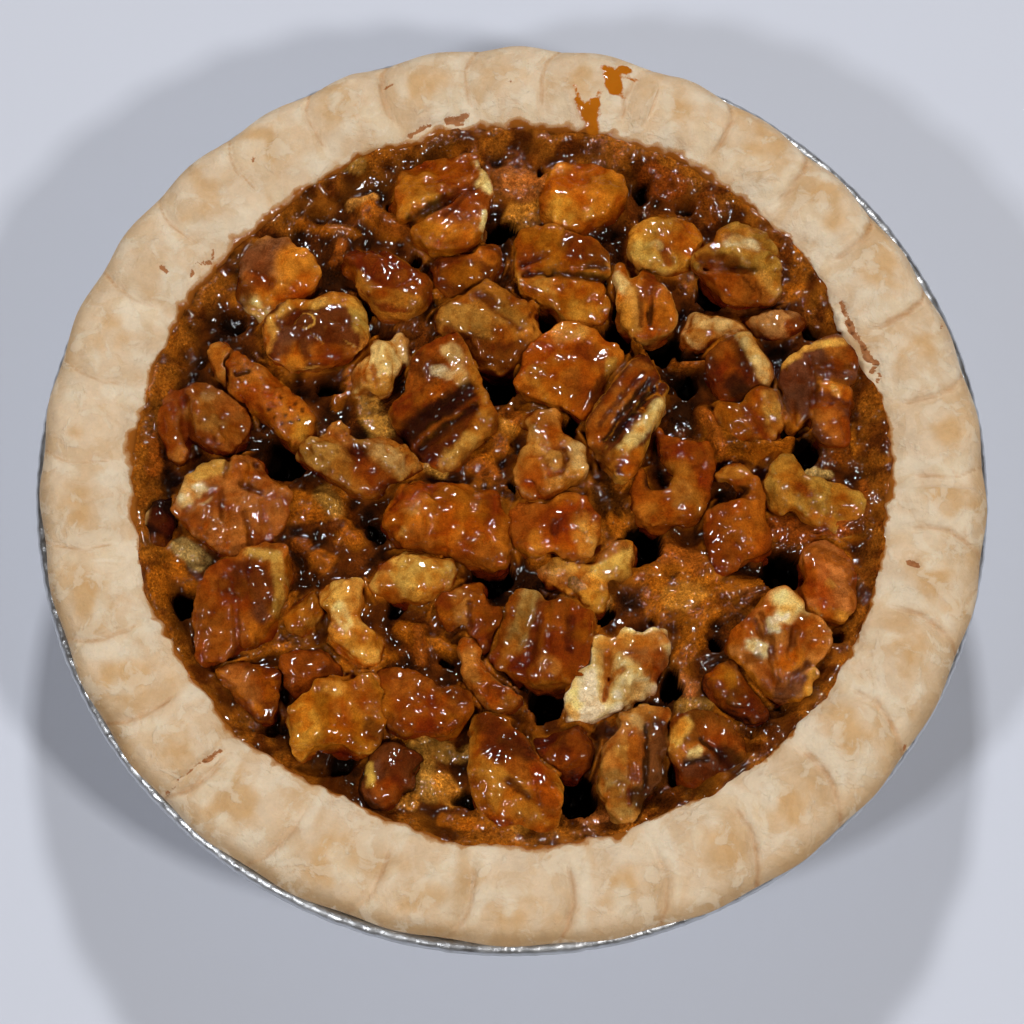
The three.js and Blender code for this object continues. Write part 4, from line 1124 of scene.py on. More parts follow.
def nut_detail(name, points):
    """What a nut's surface adds to its plain form: its skin and its marks."""
    seed = NUT_NUMBERS[name] * 3 + 1
    _, middle = nut_turn(name)
    change = nut_skin(name, points)
    x = points[..., 0] + 0.18 * noise(points, 1.3, seed + 7)
    y = points[..., 1] + 0.18 * noise(points, 1.3, seed + 8)
    upper = smoothstep(middle[2] - 1, middle[2] + 1.5, points[..., 2])
    for x1, y1, x2, y2, width, depth, _ in NUTS[name]["marks"]:
        if depth:
            aside = from_segment(x, y, x1, y1, x2, y2)
            change += depth * bump_at(aside, max(width, NARROWEST_GROOVE)) * upper
    return change


def grid_axes(low, high):
    """Grid lines round a box, coarse below the syrup and fine above it."""
    split = FILLING_LEVEL - BURIED_DEPTH
    heights = np.concatenate([
        np.arange(low[2], split, BURIED_STEP),
        np.arange(split, high[2] + NUT_STEP, NUT_STEP),
    ])
    return [
        np.arange(low[0], high[0] + NUT_STEP, NUT_STEP),
        np.arange(low[1], high[1] + NUT_STEP, NUT_STEP),
        np.unique(np.round(heights, 4)),
    ]


def nut_box(name):
    """The box, square to the pie, that holds a nut with its limbs and its wander."""
    line = outline_points(name)
    _, middle = nut_turn(name)
    reach = NUTS[name]["height"] / 2 + NUT_HEADROOM
    low = np.array([*(line.min(0) - NUT_MARGIN), middle[2] - reach])
    high = np.array([*(line.max(0) + NUT_MARGIN), middle[2] + reach])
    for x1, y1, x2, y2, radius, lift in NUTS[name]["limbs"]:
        out = radius + LIMB_MARGIN
        low = np.minimum(low, [min(x1, x2) - out, min(y1, y2) - out, low[2]])
        high = np.maximum(high, [max(x1, x2) + out, max(y1, y2) + out, middle[2] + lift + 1.6 * out])
    return low, high


# ---------------------------------------------------------------- nuts: their colours

MARK_EDGE = 0.28  # raggedness of the edge of a tinted mark
MARK_CHIPS = 0.1  # and of its finer edge
MARK_COVER = 0.86  # how much of what is under it a mark hides

# How light each word for a nut's glaze makes it. Then for red, green and blue: what passes at the
# plain shade, and the power of the shade that it follows, as a lighter glaze is less red.
SHADES = {"dark": 0.5, "dim": 0.7, "low": 0.85, "plain": 1, "lit": 1.15, "bright": 1.3, "full": 1.5}
SHADE_CHANNELS = ((0.97, 0.9), (1.01, 1.4), (0.92, 1.7))
MOST_YELLOW = (1, 0.77, 0.46)  # the most green and blue that a nut has, as shares of its red


def tinted_marks(tint, marks, points, seed):
    """Colours with each mark's own colour laid over them, its edge made ragged."""
    x = layered(points, (MARK_EDGE, 0.9, seed + 5), (MARK_CHIPS, 0.35, seed + 6), start=points[:, 0])
    y = layered(points, (MARK_EDGE, 0.9, seed + 7), (MARK_CHIPS, 0.35, seed + 8), start=points[:, 1])
    for x1, y1, x2, y2, width, _, colour in marks:
        aside = from_segment(x, y, x1, y1, x2, y2)
        share = 1 - smoothstep(0.6 * width, 1.25 * width + 0.15, aside)
        tint = mix(tint, linear(colour), MARK_COVER * share)
    return tint


def nut_tints(name, points, normals):
    """The colour and the share of bubbles in the glaze at each point of a nut."""
    nut, seed = NUTS[name], NUT_NUMBERS[name] * 5 + 40
    skin, flesh = linear(nut["skin"]), linear(nut["flesh"])
    facing_up = smoothstep(0.25, 0.75, normals[:, 2] + 0.3 * noise(points, 1.4, seed))
    tint = mix(flesh + 0 * points, skin, facing_up)
    tint = tinted_marks(tint, nut["marks"], points, seed)
    # Painted shade and light: darker and more glazed in hollows, lighter where the surface stands out.
    hollow_shade = np.clip(nut_skin(name, points) / 0.4, -0.8, 1)[:, None]
    tint = tint * np.where(hollow_shade > 0, linear("glaze") ** (0.75 * hollow_shade), 1 - 0.4 * hollow_shade)
    glaze = smoothstep(-0.1, 0.8, noise(points, 3.1, seed + 9))
    pale = smoothstep(0.12, 0.5, tint[:, 1])
    tint = mix(tint, tint * linear("glaze"), 0.75 * glaze * (1 - 0.65 * pale))
    tint = tint * layered(points, (0.25, 2.3, seed + 1), (0.2, 0.7, seed + 2), start=1)[:, None]
    light = SHADES[nut.get("shade", "plain")]
    tint = np.minimum(tint * tuple(plain * light**power for plain, power in SHADE_CHANNELS), 0.9)
    tint = np.minimum(tint, tint[:, :1] * MOST_YELLOW)
    # Darker low down, where dark syrup coats the nut and painted shade falls.
    height = points[:, 2] + 0.7 * noise(points, 1.5, seed + 3)
    below = 1 - smoothstep(SYRUP_SHADE_LINE - 0.4, SYRUP_SHADE_LINE + 2.5, height)
    tint = mix(tint, tint * linear("deep_glaze_and_shade"), 0.9 * below)
    beads = smoothstep(0.1, 0.7, 0.7 * noise(points, 2.6, seed + 4) + 0.7 * below)
    return np.clip(tint, 0.002, 0.95), beads


def gradient_normals(field, points):
    """Unit directions in which a field rises at points."""
    step = 0.15
    slopes = [field(points + step * axis) - field(points - step * axis) for axis in np.eye(3)]
    normals = np.stack(slopes, -1)
    return normals / np.maximum(np.linalg.norm(normals, axis=-1, keepdims=True), 1e-9)


def build_nut(name, material):
    """One nut, kept clear of the nuts before it."""
    low, high = nut_box(name)
    axes = grid_axes(low, high)
    points = np.stack(np.meshgrid(*axes, indexing="ij"), -1)
    field = nut_form(name, points)
    near = np.abs(field) < DETAIL_REACH
    field[near] += nut_detail(name, points[near])
    for other in list(NUTS)[: NUT_NUMBERS[name]]:
        other_low, other_high = nut_box(other)
        if np.all(other_low < high) and np.all(low < other_high):
            field = np.maximum(field, SEEN_GAP - nut_form(other, points))
    field[0], field[-1] = 1, 1
    field[:, 0], field[:, -1] = 1, 1
    field[:, :, 0], field[:, :, -1] = 1, 1
    verts, quads = surface_net(field, axes)

    def whole(at):
        """The field of the nut's finished surface."""
        return nut_form(name, at) + nut_detail(name, at)

    tints, beads = nut_tints(name, verts, gradient_normals(whole, verts))
    piece = make_mesh(f"{name}_look", verts, quads, tints, beads=beads)
    piece.data.materials.append(material)
    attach(piece, "root")
    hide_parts(name)
    return piece


# ---------------------------------------------------------------- filling

FILLING_GRID = 300  # points along each side of the filling's top
FILLING_REACH = 0.35  # how far the syrup runs on under the crust's lip
SIDE_RADIUS = 50.2  # the filling's side, halfway down
SIDE_HEIGHT = 20
FLOOR_RADIUS = 41.5
CREVICE_HEIGHT = 0.8  # height over the syrup at which the nuts beside it are measured
CLING_REACH = 3  # how far round a nut the syrup is drawn up
FAR = 9.0  # stands for the distance to what isn't near
MENISCUS_HEIGHT = 1.3
MENISCUS_WIDTH = 0.8
WEB_HEIGHT = 2.4  # how far the syrup climbs where two nuts all but touch
WEB_WIDTH = 1.7
EDGE_CLIMB = 0.7  # how far it climbs the crust
LARGE_BUBBLE = 2.3  # cell in which a large broken bubble lies
SMALL_BUBBLE = 0.95

# Deep openings, x, y, radius and depth, as in the part; and lesser ones.
PITS = [
    (-1.8, 35.5, 2, 6), (4.6, 22.6, 2, 6), (-2.2, 13.2, 2.6, 7), (-30, 3, 3, 6), (-3, -13.2, 2.6, 7),
    (14.2, 20.4, 2, 6), (20.2, 18.4, 2.2, 6), (16.8, -8.6, 2.6, 7), (35.6, -12.6, 2.4, 6),
    (38.8, 3.6, 2, 5), (8.6, -42.4, 2.4, 6), (4.4, -30.6, 2.4, 6), (-43, -17.4, 1.8, 5),
    (20.6, -28, 1.8, 6), (27.8, 27, 2.2, 5),
    (-16.2, 38.4, 0.8, 3), (-22, -38.3, 2, 2.5), (23.3, 13.6, 1.9, 4), (8.3, 7.6, 1.2, 4),
    (26.5, -22.7, 1.1, 4), (-15.2, -17.4, 1.6, 3), (12.2, -18.6, 1.2, 4), (-24.2, 13.2, 1.3, 3),
    (0.6, -28.2, 0.9, 3), (14.3, 23.6, 0.9, 3), (25, 19.3, 1.4, 4), (-6.5, -43.4, 1.1, 2.5),
    (-31.5, -33.4, 1.5, 2), (42.5, -21.8, 1.2, 2), (-20.6, 24, 1.4, 3), (-38.2, 22.5, 1.6, 2),
    (-39, 15.8, 1, 2), (17.8, 42.2, 1.4, 2.2), (4.3, 44.2, 0.8, 2), (23.2, 39, 1, 1.6),
    (-12.8, 31.6, 1.2, 3), (-17.6, -7.2, 1.1, 2.5), (-8.6, -24.8, 0.9, 2), (39.5, 20.6, 1.1, 2),
    (21.2, -13.4, 0.5, 1.4), (17.8, -19.4, 0.6, 1.6), (34.2, -31.2, 0.7, 1.5), (20.7, -39.8, 1.3, 2.6),
    (36.8, 6.6, 0.8, 2.4), (-44.8, 17.5, 1.2, 1), (-27, 37.5, 1.5, 1.2), (0.4, -1.2, 0.8, 3),
]

# Bits and lumps fused to the syrup: x,y x,y width rise and colour.
FOAM = strokes("""
    -0.5,43 3,42 2.4 1.6 sienna; 0.5,38 3.5,38 1.7 1.1 gold; -20,39 -17.5,36.5 1.4 1.8 orange;
    -17,36.5 -14.5,35.6 1.3 1.6 rust; -22,39.5 -19,41 0.7 1.2 tan; -29,36.8 -21.5,35.6 0.7 1.1 amber;
    -23,44.6 -21,44.6 0.9 0.3 olive; -24,31.5 -23.2,34 0.8 0.8 rust; 8,-14.6 12.2,-17 1.2 2 tan;
    11.4,-16.9 12,-16.9 0.7 0.4 white; 27,-15.5 33,-14.3 1.3 1.6 amber; 31,-16.8 33.5,-15.8 1.2 1.1 brown;
    -12.5,-38 -10.5,-42 1.8 1.7 olive; -14.2,-43.6 -12.8,-43.6 1 0.9 gold; -9,-41 -7.5,-43 1.4 1.3 gold;
    -11,-35.8 -9,-37 1.5 1.5 olive; -43.5,-9.6 -41.2,-11.3 1.3 1.3 pale; -29,-4 -24,-3.6 2.2 1.3 amber;
    -25,-2 -23.5,-4 1.3 0.9 olive; -25.2,-11 -24.6,-11.6 1.3 2.1 orange; -27.5,-9 -28.5,-8.8 1 1.3 rust;
    -22,-7.2 -21,-8 1.3 2.1 orange; -24,-6.3 -22.8,-6.8 0.8 1.3 maroon; 20,-10 24,-12 1.9 1.9 rust;
    17.5,-13.5 22,-13.6 1.4 1.7 amber; 21,-16.5 24,-16.3 1.7 2.1 gold; 18,-16 19,-18.6 1.2 1.4 amber;
    23.5,-20 25.5,-18.5 1.4 1.7 amber; 22.5,-24 24,-22 1.5 1.9 amber;
    21.3,-27.2 23.5,-28.5 1.2 1.3 sienna; 22,-31 25,-31 1.1 1.3 olive; 12.2,-1.5 13.3,-5 1.5 1.1 dark;
    13,-6 14,-6.6 0.9 1.2 amber; -14,22.5 -11.5,22 1.3 1.1 brown; -4,3.5 -1,5 1.5 1.5 amber;
    -1,7.2 0,6.8 0.9 1.9 gold; -0.5,9.2 0.6,8 0.9 1.1 rust; -5,2 -3,1 1.2 1.1 rust;
    -11,2 -9.5,1.2 0.9 0.9 olive; -14,-20.5 -13,-21.5 1.3 1.7 amber; -12,-21 -11.8,-25 0.8 1.5 rust;
    -16.5,-24.6 -15.5,-24.2 0.7 1.2 amber; -9.5,-22.5 -8,-23.5 1 1.3 amber; 19,43.5 22,42 1.7 1.5 red;
    34,27 38.5,26.5 1.2 1.1 amber; 36.2,30 37,33 1.2 0.9 brown; 26.5,40 27.5,37 1.2 1.1 brown;
    -44,-12.6 -41.8,-15 1.1 1.3 amber; -46.5,-14 -46,-17 1.2 0.7 amber; -19,10 -17.5,7 1.7 1.3 olive;
    39,1.2 42,0.8 0.7 0.5 pale; 35.5,-6.6 39,-7.6 1.8 1.6 red; 42,-7 45,-6.5 1.5 1.4 red;
    41,4.5 44,3.5 1.5 1.3 brown; 28.5,5.5 33,3.2 1.4 1.5 amber; 25.6,9.5 27.5,4 0.9 2.3 rust;
    18,17.5 21.5,16.2 0.5 2.4 amber; 21.8,18.5 21.8,16.5 0.4 2.2 amber; 21.5,16.2 26,16.2 0.5 2.2 rust;
    33,4 37,4.2 0.7 2.2 amber; 36.5,4.5 40.5,6.3 0.45 2.2 amber; 15.6,19.4 17.6,17.6 0.4 2.2 amber;
    31,-20.5 27.5,-17 1 1 brown; -6.5,-37.5 -4.5,-36.6 1 1 olive; 2.5,-31.6 2,-35 0.8 1.1 brown;
    -22.5,13 -23.5,10.6 0.8 1 amber; -13.5,18.5 -12,20 0.8 0.8 brown; 35,12 36,8.8 0.7 0.9 amber;
    -29.5,-23 -34,-24 0.8 1 amber; 46.5,-1 46.2,-6 0.9 0.5 rust; -47.8,1 -47.5,5 0.9 0.5 rust;
    0,-46.2 1.5,-47.6 0.8 0.5 gold; 9.5,-46 13,-45.6 0.9 0.5 sienna; -9,-46 -4,-47 1 0.5 amber
""")

# How far the crust's inner edge stands out from its mean radius, every 10 degrees from +X.
INNER_EDGE = [
    0.2, 0.4, -0.5, -0.1, 0.3, 0.6, 0.5, 0.7, 0.8, 0, 0.3, 0.2, -0.1, -0.1, -0.5, 0, 0.3, 0,
    0.5, 0, 0.1, -0.1, 0.2, -0.4, -0.9, -1.1, -0.2, 0.2, 0.1, 0, 0.2, 0.2, 0.6, 0.5, -0.2, 0,
]
# Where a torn strip of the edge hangs over the syrup: angle, spread of angles and reach.
TORN_LIP = (23, 5, 1.1)


def degrees_from(heading, angle):
    """Degrees from a heading to angles in radians, from -180 to 180."""
    return np.mod(np.degrees(angle) - heading + 180, 360) - 180


def inner_edge_wave(angle):
    """How far the crust's inner edge wanders from its mean radius; the angle is in radians."""
    smooth = np.interp(np.degrees(angle), np.arange(0, 360, 10), INNER_EDGE, period=360)
    heading, spread, reach = TORN_LIP
    ripple = 0.2 * np.sin(13 * angle) + 0.15 * np.sin(29 * angle + 1)
    return smooth + ripple - reach * bump_at(degrees_from(heading, angle), spread)


def disc_grid(count):
    """A square grid of points pressed onto the unit disc, as radius and angle."""
    a, b = np.meshgrid(np.linspace(-1, 1, count), np.linspace(-1, 1, count), indexing="ij")
    wide = np.abs(a) > np.abs(b)
    radius = np.where(wide, a, b)
    ratio = np.where(wide, b, a) / np.where(radius == 0, 1, radius)
    angle = np.where(wide, ratio * math.pi / 4, math.pi / 2 - ratio * math.pi / 4)
    return radius, angle


def from_nuts(x, y, height):
    """Distance-like values to the nearest and the next nearest nut at a height, below 0 inside one."""
    nearest, next_nearest = np.full((2, *np.shape(x)), FAR)
    for name in NUTS:
        low, high = nut_box(name)
        low, high = low - CLING_REACH, high + CLING_REACH
        close = (x > low[0]) & (x < high[0]) & (y > low[1]) & (y < high[1])
        here = nut_form(name, flat_points(x[close], y[close], height))
        before = nearest[close]
        next_nearest[close] = np.minimum(next_nearest[close], np.maximum(before, here))
        nearest[close] = np.minimum(before, here)
    return nearest, next_nearest


def lumped(rise, x, y):
    """The syrup's rise with the bits and lumps on it, their colours, and how much these cover."""
    tint, cover = np.zeros((*x.shape, 3)), np.zeros_like(x)
    for x1, y1, x2, y2, width, lump, colour in FOAM:
        share = bump_at(from_segment(x, y, x1, y1, x2, y2), 1.15 * width)
        rise = rise + lump * share
        paint = smoothstep(0.25, 0.6, share)
        tint = mix(tint, linear(colour), paint)
        cover = np.maximum(cover, paint)
    return rise, tint, cover


def pit_depth(x, y):
    """How deep the openings are at points seen from above, their edges made to wander."""
    flat = flat_points(x, y)
    ragged_x = layered(flat, (1, 3.4, 76), (0.45, 1.3, 77), start=x)
    ragged_y = layered(flat, (1, 3.4, 78), (0.45, 1.3, 79), start=y)
    sunk = np.zeros_like(x)
    for pit_x, pit_y, reach, depth in PITS:
        away = np.hypot(ragged_x - pit_x, ragged_y - pit_y) / (1.15 * reach)
        sunk = np.maximum(sunk, depth * np.clip(1 - away**3, 0, 1) ** 0.6)
    return sunk


def filling_surface(x, y, angle):
    """The filling's height, colour and share of bubbles at points seen from above."""
    flat = flat_points(x, y)
    radius = np.hypot(x, y)
    climb = smoothstep(FILLING_FLAT_RADIUS, CRUST_INNER_RADIUS - GAP, radius)
    level = FILLING_LEVEL + (FILLING_EDGE_LEVEL - FILLING_LEVEL) * climb

    # What clings to the nuts and the waves between them.
    aside, far_side = from_nuts(x, y, FILLING_LEVEL + CREVICE_HEIGHT)
    meniscus = MENISCUS_HEIGHT * np.exp(-np.clip(aside, 0, None) / MENISCUS_WIDTH)
    meniscus *= 0.7 + 0.6 * noise(flat, 4, 71)
    web = WEB_HEIGHT * smoothstep(WEB_WIDTH, 0.2, far_side) * smoothstep(-0.7, 0.1, noise(flat, 3.5, 75))
    waves = layered(flat, (0.75, 5.5, 60), (0.4, 2.6, 61), (0.2, 1.2, 62))
    rise = np.maximum(meniscus, web) + waves * (1 - 0.1 * climb) - 0.2

    # Lumps, broken bubbles and openings.
    near_x, near_y = x + 0.45 * noise(flat, 1.6, 63), y + 0.45 * noise(flat, 1.6, 64)
    rise, tint, cover = lumped(rise, near_x, near_y)
    large = bubbles(near_x, near_y, LARGE_BUBBLE, 1, 0.55) * smoothstep(-0.25, 0.2, noise(flat, 7, 66))
    small = bubbles(x, y, SMALL_BUBBLE, 2, 0.8) * smoothstep(-0.3, 0.3, noise(flat, 4, 67))
    rise = rise - (0.55 * large + 0.22 * small)
    sunk = pit_depth(x, y)
    strands = np.clip(rise - 1.4, 0, 1.2)
    wall = CRUST_INNER_RADIUS - LIP_REACH + inner_edge_wave(angle)
    lap = EDGE_CLIMB * np.exp(-np.abs(wall - radius) / 1.1) * (0.8 + 0.5 * noise(flat, 3, 65))
    height = level + rise - sunk + np.where(sunk > 0, strands, 0) + lap

    # Dark where the syrup is low, from deeper syrup and painted shade, and lighter where it stands up.
    standing_up = smoothstep(-0.7, 1.7, rise + 0.4 * noise(flat, 1.9, 68))
    depth_and_shade_tint = mix(linear("dark") + 0 * tint, linear("umber"), smoothstep(0, 0.45, standing_up))
    depth_and_shade_tint = mix(depth_and_shade_tint, linear("caramel"), smoothstep(0.4, 1, standing_up))
    tint = mix(depth_and_shade_tint, tint, 0.85 * cover)

    # The boiled rim along the crust.
    edge = smoothstep(45.4, 49.2, radius + 1.4 * noise(flat, 3, 69))
    mottle = layered(flat, (1, 3.4, 70), (0.6, 1.3, 55))
    rim = mix(linear("rim") + 0 * tint, linear("umber"), smoothstep(-0.3, 0.5, mottle))
    tint = mix(tint, rim, 0.85 * edge * (1 - 0.8 * cover))

    # Painted shade: darker in bubbles, beside nuts and black in openings.
    tint = tint * layered(flat, (0.25, 1.5, 72), (0.2, 0.6, 73), start=1)[..., None]
    tint = tint * (1 - 0.45 * large - 0.25 * small)[..., None]
    shade = np.exp(-np.clip(aside, 0, None) / 0.7) * smoothstep(-0.2, 0.5, noise(flat, 2.8, 56))
    tint = tint * (1 - 0.6 * shade)[..., None]
    tint = mix(tint, linear("black"), smoothstep(0.5, 2.2, sunk))
    beads = smoothstep(-0.3, 0.4, noise(flat, 3.2, 74) + 0.5 * cover + 0.35 * edge)
    return height, np.clip(tint, 0.001, 0.95), beads


def fans(ring, middle, outward):
    """Triangles from a closed ring of point numbers to a middle point."""
    after = np.roll(ring, -1)
    corners = (ring, after) if outward else (after, ring)
    return np.stack([*corners, np.full(len(ring), middle)], -1)


def halves(quads):
    """Each quad as two triangles."""
    return np.concatenate([quads[:, [0, 1, 2]], quads[:, [0, 2, 3]]])


def build_filling(material):
    """The syrup: a fine top, and under the crust's lip a plain side and floor that nobody sees."""
    unit, angle = disc_grid(FILLING_GRID)
    wall = CRUST_INNER_RADIUS - GAP + FILLING_REACH
    angle = np.where(unit < 0, angle + math.pi, angle)
    radius = np.abs(unit) * (wall + inner_edge_wave(angle))
    x, y = radius * np.cos(angle), radius * np.sin(angle)
    height, tint, beads = filling_surface(x, y, angle)
    points = np.stack([x, y, height], -1).reshape(-1, 3)

    number = np.arange(FILLING_GRID**2).reshape(FILLING_GRID, FILLING_GRID)
    border = np.concatenate([number[0], number[1:, -1], number[-1, -2::-1], number[-2:0:-1, 0]])
    rim_angle = np.arctan2(points[border, 1], points[border, 0])
    clockwise = np.diff(np.unwrap(rim_angle)).sum() < 0
    floor = FOIL + 2 * GAP + CRUST_THICKNESS
    rows, faces = [points], [halves(grid_faces(FILLING_GRID, FILLING_GRID, False))]
    above, count = border, len(points)
    for side, level in ((wall + 0.1, FILLING_LEVEL), (SIDE_RADIUS, SIDE_HEIGHT), (FLOOR_RADIUS, floor)):
        rows.append(flat_points(side * np.cos(rim_angle), side * np.sin(rim_angle), level))
        here = count + np.arange(len(border))
        quads = np.stack([above, here, np.roll(here, -1), np.roll(above, -1)], -1)
        faces.append(halves(quads))
        above, count = here, count + len(border)
    rows.append(np.array([[0, 0, floor]]))
    faces.append(fans(above, count, False))
    points_all, faces_all = np.concatenate(rows), np.concatenate(faces)
    if clockwise:
        faces_all = faces_all[:, ::-1]

    hidden = len(points_all) - len(points)
    tints = np.concatenate([tint.reshape(-1, 3), np.tile(linear("umber"), (hidden, 1))])
    beads = np.concatenate([beads.ravel(), np.zeros(hidden)])
    piece = make_mesh("filling_look", points_all, faces_all, tints, beads=beads)
    piece.data.materials.append(material)
    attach(piece, "root")
    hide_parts("filling")
    return piece


# ---------------------------------------------------------------- crust

CRUST_COLUMNS = 930
RIM_STEP = 0.42  # distance between rows of the crust's visible rim
LIP_REACH = 0.8  # how far the soft inner edge hangs over the filling
CRUST_SEAT = TIN_WALL_TOP + FOIL + GAP  # height at which the crust lies on the tin's flange
THUMB_RADIUS = 57.6  # middle of the thumb's dent between two creases
PETAL_RADIUS = 57.4  # and of the toasted patch round it
PETAL_PHASE = 0.55  # where both lie on the way from one crease to the next
PLAIN_CREEP = 0.45  # how far syrup has crept onto the crust everywhere

# Angle of each pinched crease, how far it leans between the rim's outer and inner edge, and its
# strength.
CREASES = [
    (12.5, -1.5, 0.8), (24.6, -1.5, 0.9), (36.6, -1.6, 1), (48.8, -1.4, 1), (60.8, -1, 0.9),
    (72, 0.2, 0.7), (84, 0.6, 0.6), (94.5, 0.4, 0.7), (106.3, 0.5, 0.9), (117, 0.8, 0.6),
    (129, 1, 0.5), (141, 1, 0.5), (152.5, 0.8, 0.6), (165, 0.6, 0.5), (177, 0.5, 0.5),
    (189, 0.8, 0.6), (201.6, 0.9, 0.8), (213.3, 0.9, 0.8), (224.8, 1, 1), (238, 2, 0.9),
    (251, 1.6, 0.8), (263, 1.3, 0.9), (276, 1, 0.9), (288, 1.2, 0.9), (300.3, 1.6, 0.9),
    (312.8, 2, 1), (324.2, 2.4, 0.9), (337.8, 1.6, 0.8), (350, 1.2, 0.9), (361, -0.6, 0.6),
]

# Cracks and holes in the rim: x,y x,y width and depth.
CRACKS = strokes("""
    44.2,24.2 44.7,23.2 0.25 0.4; 44.7,23.2 45.2,21.4 0.32 0.8; 45.2,21.4 45.7,20.2 0.5 1;
    45.7,20.2 46.4,18.8 0.42 0.9; 46.4,18.8 47.2,17.6 0.3 0.6; 47.2,17.3 47.6,16.2 0.5 1;
    47.6,16 48.7,15.4 0.35 0.7; 48.7,15.4 48.1,14.2 0.3 0.6; 49.2,13.9 48.7,12.9 0.25 0.4;
    -42.6,29.7 -40.2,30.2 0.25 0.5; -47.2,28.8 -46.3,27.9 0.22 0.4; -43.1,28.7 -43.4,27.9 0.22 0.4;
    -40.5,31.7 -40.6,31 0.2 0.3; -14,48.6 -12.6,49.6 0.22 0.4; -12.6,49.6 -11.2,50.2 0.22 0.4;
    -8.8,51 -7.2,51.2 0.4 0.5; -7.2,51.3 -5.9,51.8 0.3 0.4; -8.9,50.6 -6.6,50.6 0.2 0.5;
    -17.4,55.6 -16.4,56.2 0.2 0.2; -0.4,56.2 0,56.4 0.15 0.2; 51.8,-12.7 53,-13 0.35 0.8;
    -39.3,-39 -37.2,-37.6 0.25 0.9; -41.8,-27.6 -41.7,-28 0.2 0.4; -16.6,-45.8 -15,-46.4 0.2 0.4;
    -44.2,-43.2 -42,-41 0.14 0.5; -42,-41 -39.6,-39.2 0.1 0.5; 50.4,-36.6 50.6,-37.4 0.15 0.2;
    42.2,43.4 42.4,44 0.12 0.2; -35.4,45 -35.2,44.6 0.18 0.2; 57.6,20.8 57.4,20.4 0.15 0.2
""")

# Syrup that ran onto the rim: x,y x,y and width.
DRIPS = strokes("""
    8.6,55.4 9,53.2 0.25; 9,53.2 10.2,51.2 0.5; 11.4,53 11.2,50.2 0.7; 10,52.2 11.2,49.6 0.85;
    11.2,49.8 11.4,48.9 0.55; 11.6,53.2 12.2,54.8 0.22; 13.6,57 14.2,55.2 1.15; 12.6,58.4 14.6,57.6 0.35;
    14.6,57.4 17.4,56.6 0.22; 15.2,58.4 15.8,58.2 0.65; 15,54.2 15.4,53.8 0.2
""")

# How far the outer edge stands out from its mean radius: angle and distance.
BULGES = [
    (0, -0.3), (20, -0.8), (40, -0.9), (65, -0.6), (90, -0.3), (130, -0.2), (180, -0.1), (225, -0.4),
    (262, -0.2), (285, 0.1), (305, 0.6), (325, 0.7), (345, 0.3),
]

# Where syrup has crept further onto the crust, or less far: angle, spread of angles and how far.
CREEP = [
    (92, 26, 0.9), (60, 14, 0.9), (140, 18, 1), (24, 12, -0.45), (2, 8, 0.5), (225, 30, 0.6),
    (270, 16, 1.1), (180, 12, 1),
]


def spline(points, step):
    """A smooth line through points, with a point about every step along it."""
    points = np.array(points, float)
    ends = np.concatenate([[2 * points[0] - points[1]], points, [2 * points[-1] - points[-2]]])
    line = []
    for a, b, c, d in zip(ends, ends[1:], ends[2:], ends[3:]):
        parts = max(2, math.ceil(np.linalg.norm(c - b) / step))
        line += [curve_point(a, b, c, d, t) for t in np.linspace(0, 1, parts, endpoint=False)]
    return np.array([*line, points[-1]])


def crease_phase(angle, radius):
    """Share of the way from one crease to the next, and arc distance to and strength of the nearest."""
    middle = 0.5 * (CRUST_EDGE_RADIUS + CRUST_INNER_RADIUS)
    share = (radius - middle) / (CRUST_EDGE_RADIUS - CRUST_INNER_RADIUS)
    degrees = np.degrees(angle)
    angles, leans, strengths = (np.array(column) for column in zip(*CREASES))
    lean = np.interp(np.mod(degrees, 360), angles, leans, period=360)
    bow = 1.9 * (1 - 4 * share**2) * np.sign(lean)
    at = np.mod(degrees + lean * share - bow - angles[0], 360)
    starts = np.append(angles - angles[0], 360)
    before = np.clip(np.searchsorted(starts, at, side="right") - 1, 0, len(angles) - 1)
    width = starts[before + 1] - starts[before]
    phase = (at - starts[before]) / width
    nearest = np.where(phase < 0.5, before, (before + 1) % len(angles))
    signed = np.where(phase < 0.5, phase, phase - 1) * width
    return phase, np.radians(signed) * radius, strengths[nearest]


def wall_inside(height, outside):
    """Radius at a height of what lies so far inside the outer face of the tin's wall."""
    slope = (TIN_WALL_TOP_RADIUS - TIN_BASE_RADIUS) / TIN_WALL_TOP
    return TIN_BASE_RADIUS + slope * height - outside


def revolved(profile, columns):
    """Radius, height and angle of each point of a profile turned about Z, its rows first."""
    angle = np.linspace(0, 2 * math.pi, columns, endpoint=False)
    radius, height = profile[:, :1] + 0 * angle, profile[:, 1:] + 0 * angle
    return radius, height, angle + 0 * radius


def closed_turning(radius, angle, height):
    """Points and triangles of a turned body whose first and last rows close on the axis."""
    rows, columns = radius.shape
    ring = np.stack([radius * np.cos(angle), radius * np.sin(angle), height], -1).reshape(-1, 3)
    low, high = [0, 0, height[0].mean()], [0, 0, height[-1].mean()]
    points = np.concatenate([ring, [low, high]])
    count = rows * columns
    faces = np.concatenate([
        halves(grid_faces(rows, columns, True)),
        fans(np.arange(columns), count, False),
        fans(np.arange(count - columns, count), count + 1, True),
    ])
    return points, faces


